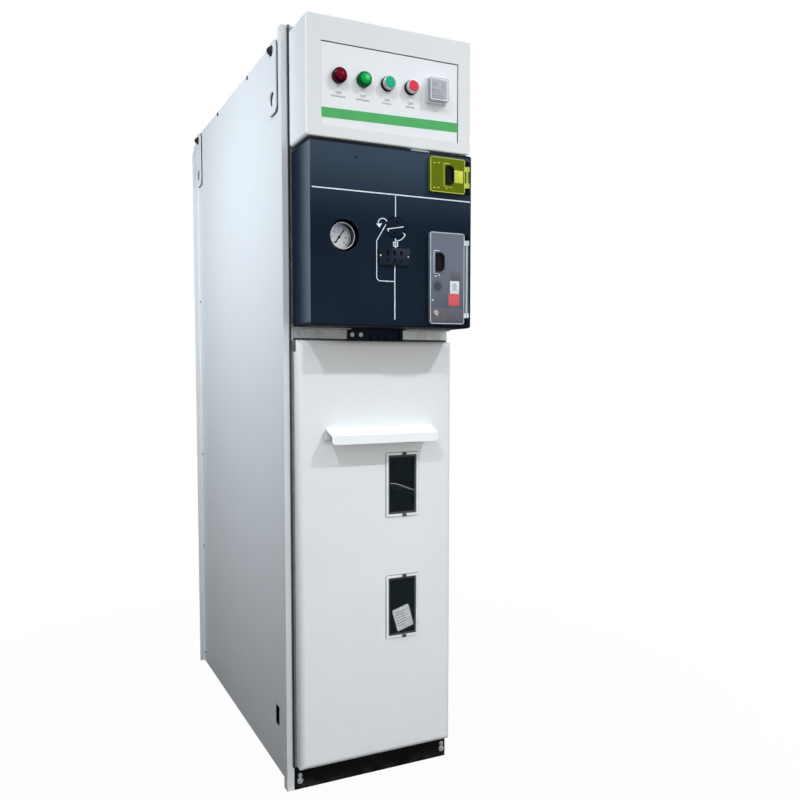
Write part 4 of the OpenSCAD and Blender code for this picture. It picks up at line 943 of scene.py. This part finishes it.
def ribbed_skirt(node):
    """Ring round a lens and its collar whose outside swells in ribs: r = r0 + a |cos(n t / 2)| for n ribs."""
    ribs, r0, a, inside = 36, collar_r + 0.05 * mm, 0.4 * mm, 12.6 * mm
    t = np.linspace(0, 2 * np.pi, 8 * ribs, endpoint=False)
    swell = r0 + a * np.abs(np.cos(ribs * t / 2))
    radii = np.stack([np.full_like(t, inside), np.full_like(t, r0), swell, swell, np.full_like(t, inside)])
    heights = np.array([0.2, -5.0, -5.0, 3.6, 5.2])[:, None] * mm
    local = np.stack([radii * np.cos(t), radii * np.sin(t), np.broadcast_to(heights, radii.shape)], -1)
    x, _, z = front_middle(node)
    return loft(local @ facing_front + np.array([x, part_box(node)[1].y, z]), closed=True)


rim_from, rim_to, core_off = 9.5 * mm, 12.5 * mm, np.array([2.5, 0, 1.5]) * mm
for hue, tint, shade, rim_shade, core_highlight, core_r in (
        ("red", tone(120, 0, 30), tone(92, 0, 20), tone(52, 0, 14), tone(160, 30, 58), 4.0 * mm),
        ("green", tone(6, 176, 76), tone(2, 150, 60), tone(0, 96, 42), tone(84, 222, 128), 7.5 * mm)):
    lens_clear = coated(hue + "_lens", tint, shade, 60, 260, (0.08, 0.16), 0.06,
                        {"Specular IOR Level": 0.04, "Coat Weight": 0.1, "Coat Roughness": 0.1})
    lens_at = front_middle(hue + "_lamp")
    # Painted shade at the lens rim and a painted highlight near its middle.
    laid_over(lens_clear, rim_shade, around(lens_clear, lens_at, rim_from, rim_to))
    laid_over(lens_clear, core_highlight, around(lens_clear, lens_at + core_off, core_r, core_r / 3))
    dress(lens_clear, hue + "_lamp")
    piece(hue + "_skirt", [ribbed_skirt(hue + "_lamp")], lens_clear, "case")
for hue, tint, shade in (("green", tone(18, 186, 136), tone(14, 172, 126)),
                         ("red", tone(236, 62, 84), tone(224, 52, 74))):
    cap = coated(hue + "_cap", tint, shade, 60, 700, (0.22, 0.34), 0.12, {"Specular IOR Level": 0.2})
    dress(cap, hue + "_button")


# Meter. A small counter in a grey case under a clear cap with a painted highlight along its front edges; its
# face is a plain lilac plate with printed rules and one red mark, and a bare label strip lies under it.
grey_moulding = coated("grey_moulding", tone(238, 240, 245), tone(228, 230, 236), 50, 700, (0.4, 0.5), 0.2)
dress(grey_moulding, "meter_case")
cap_clear = coated("cap_clear", (0.96, 0.965, 0.98, 1), (0.92, 0.93, 0.95, 1), 40, 300, (0.03, 0.08), 0.05,
                   {"Transmission Weight": 0.82, "IOR": 1.22})
dress(cap_clear, "meter_cover")
lilac = coated("lilac", tone(168, 172, 190), tone(156, 161, 180), 60, 700, (0.4, 0.5), 0.1)
face_at, face_size, face_t = front_middle("meter_case"), (38 * mm, 40.5 * mm), mm
face_edge = [(0, 0), (0, 0.8 * face_t), (0.3 * face_t, face_t)]
piece("meter_face", [slab(face_size, 1.5 * mm, face_edge, face_at)], lilac, "case")
label_at, label_size = (face_at[0] + mm, inset_low.y, control_z - 30.5 * mm), (51 * mm, 8 * mm)
piece("meter_label", [slab(label_size, mm, film_edge, label_at)], pale_moulding, "case")
rule_rows = ((-10, 0, 15, 1.4), (-14, 4, 11, 1.2), (-14, -4, 0, 2.6), (-1, 7, 0, 2.6), (-14, 12, -5, 1.2),
             (-14, -6, -10, 1.6), (-4, 4, -10, 1.6), (6, 14, -10, 1.6), (-14, 14, -15, 1.8))
print_at = face_at - np.array([0, face_t, 0])
rules = [ribbon(np.array([[x0, z], [x1, z]]) * mm, w * mm, 0.15 * mm, print_at) for x0, x1, z, w in rule_rows]
piece("meter_rules", rules, dark_screw, "case")
cap_low, cap_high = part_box("meter_cover")
# A thin white frame on the cap's front is a painted highlight along its edges.
cap_highlight_size = (cap_high.x - cap_low.x - 2 * mm, cap_high.z - cap_low.z - 2 * mm)
cap_edge_highlight = slab(cap_highlight_size, 1.5 * mm, flat_ring(0, 1.7 * mm, 0.15 * mm), front_middle("meter_cover"), closed=True)
piece("meter_cap_highlight", [cap_edge_highlight], handle_coat, "case")
mark_at = print_at + np.array([12, 0, 9]) * mm
piece("meter_mark", [slab((4 * mm, 9 * mm), 0.8 * mm, film_edge, mark_at)], red_film, "case")
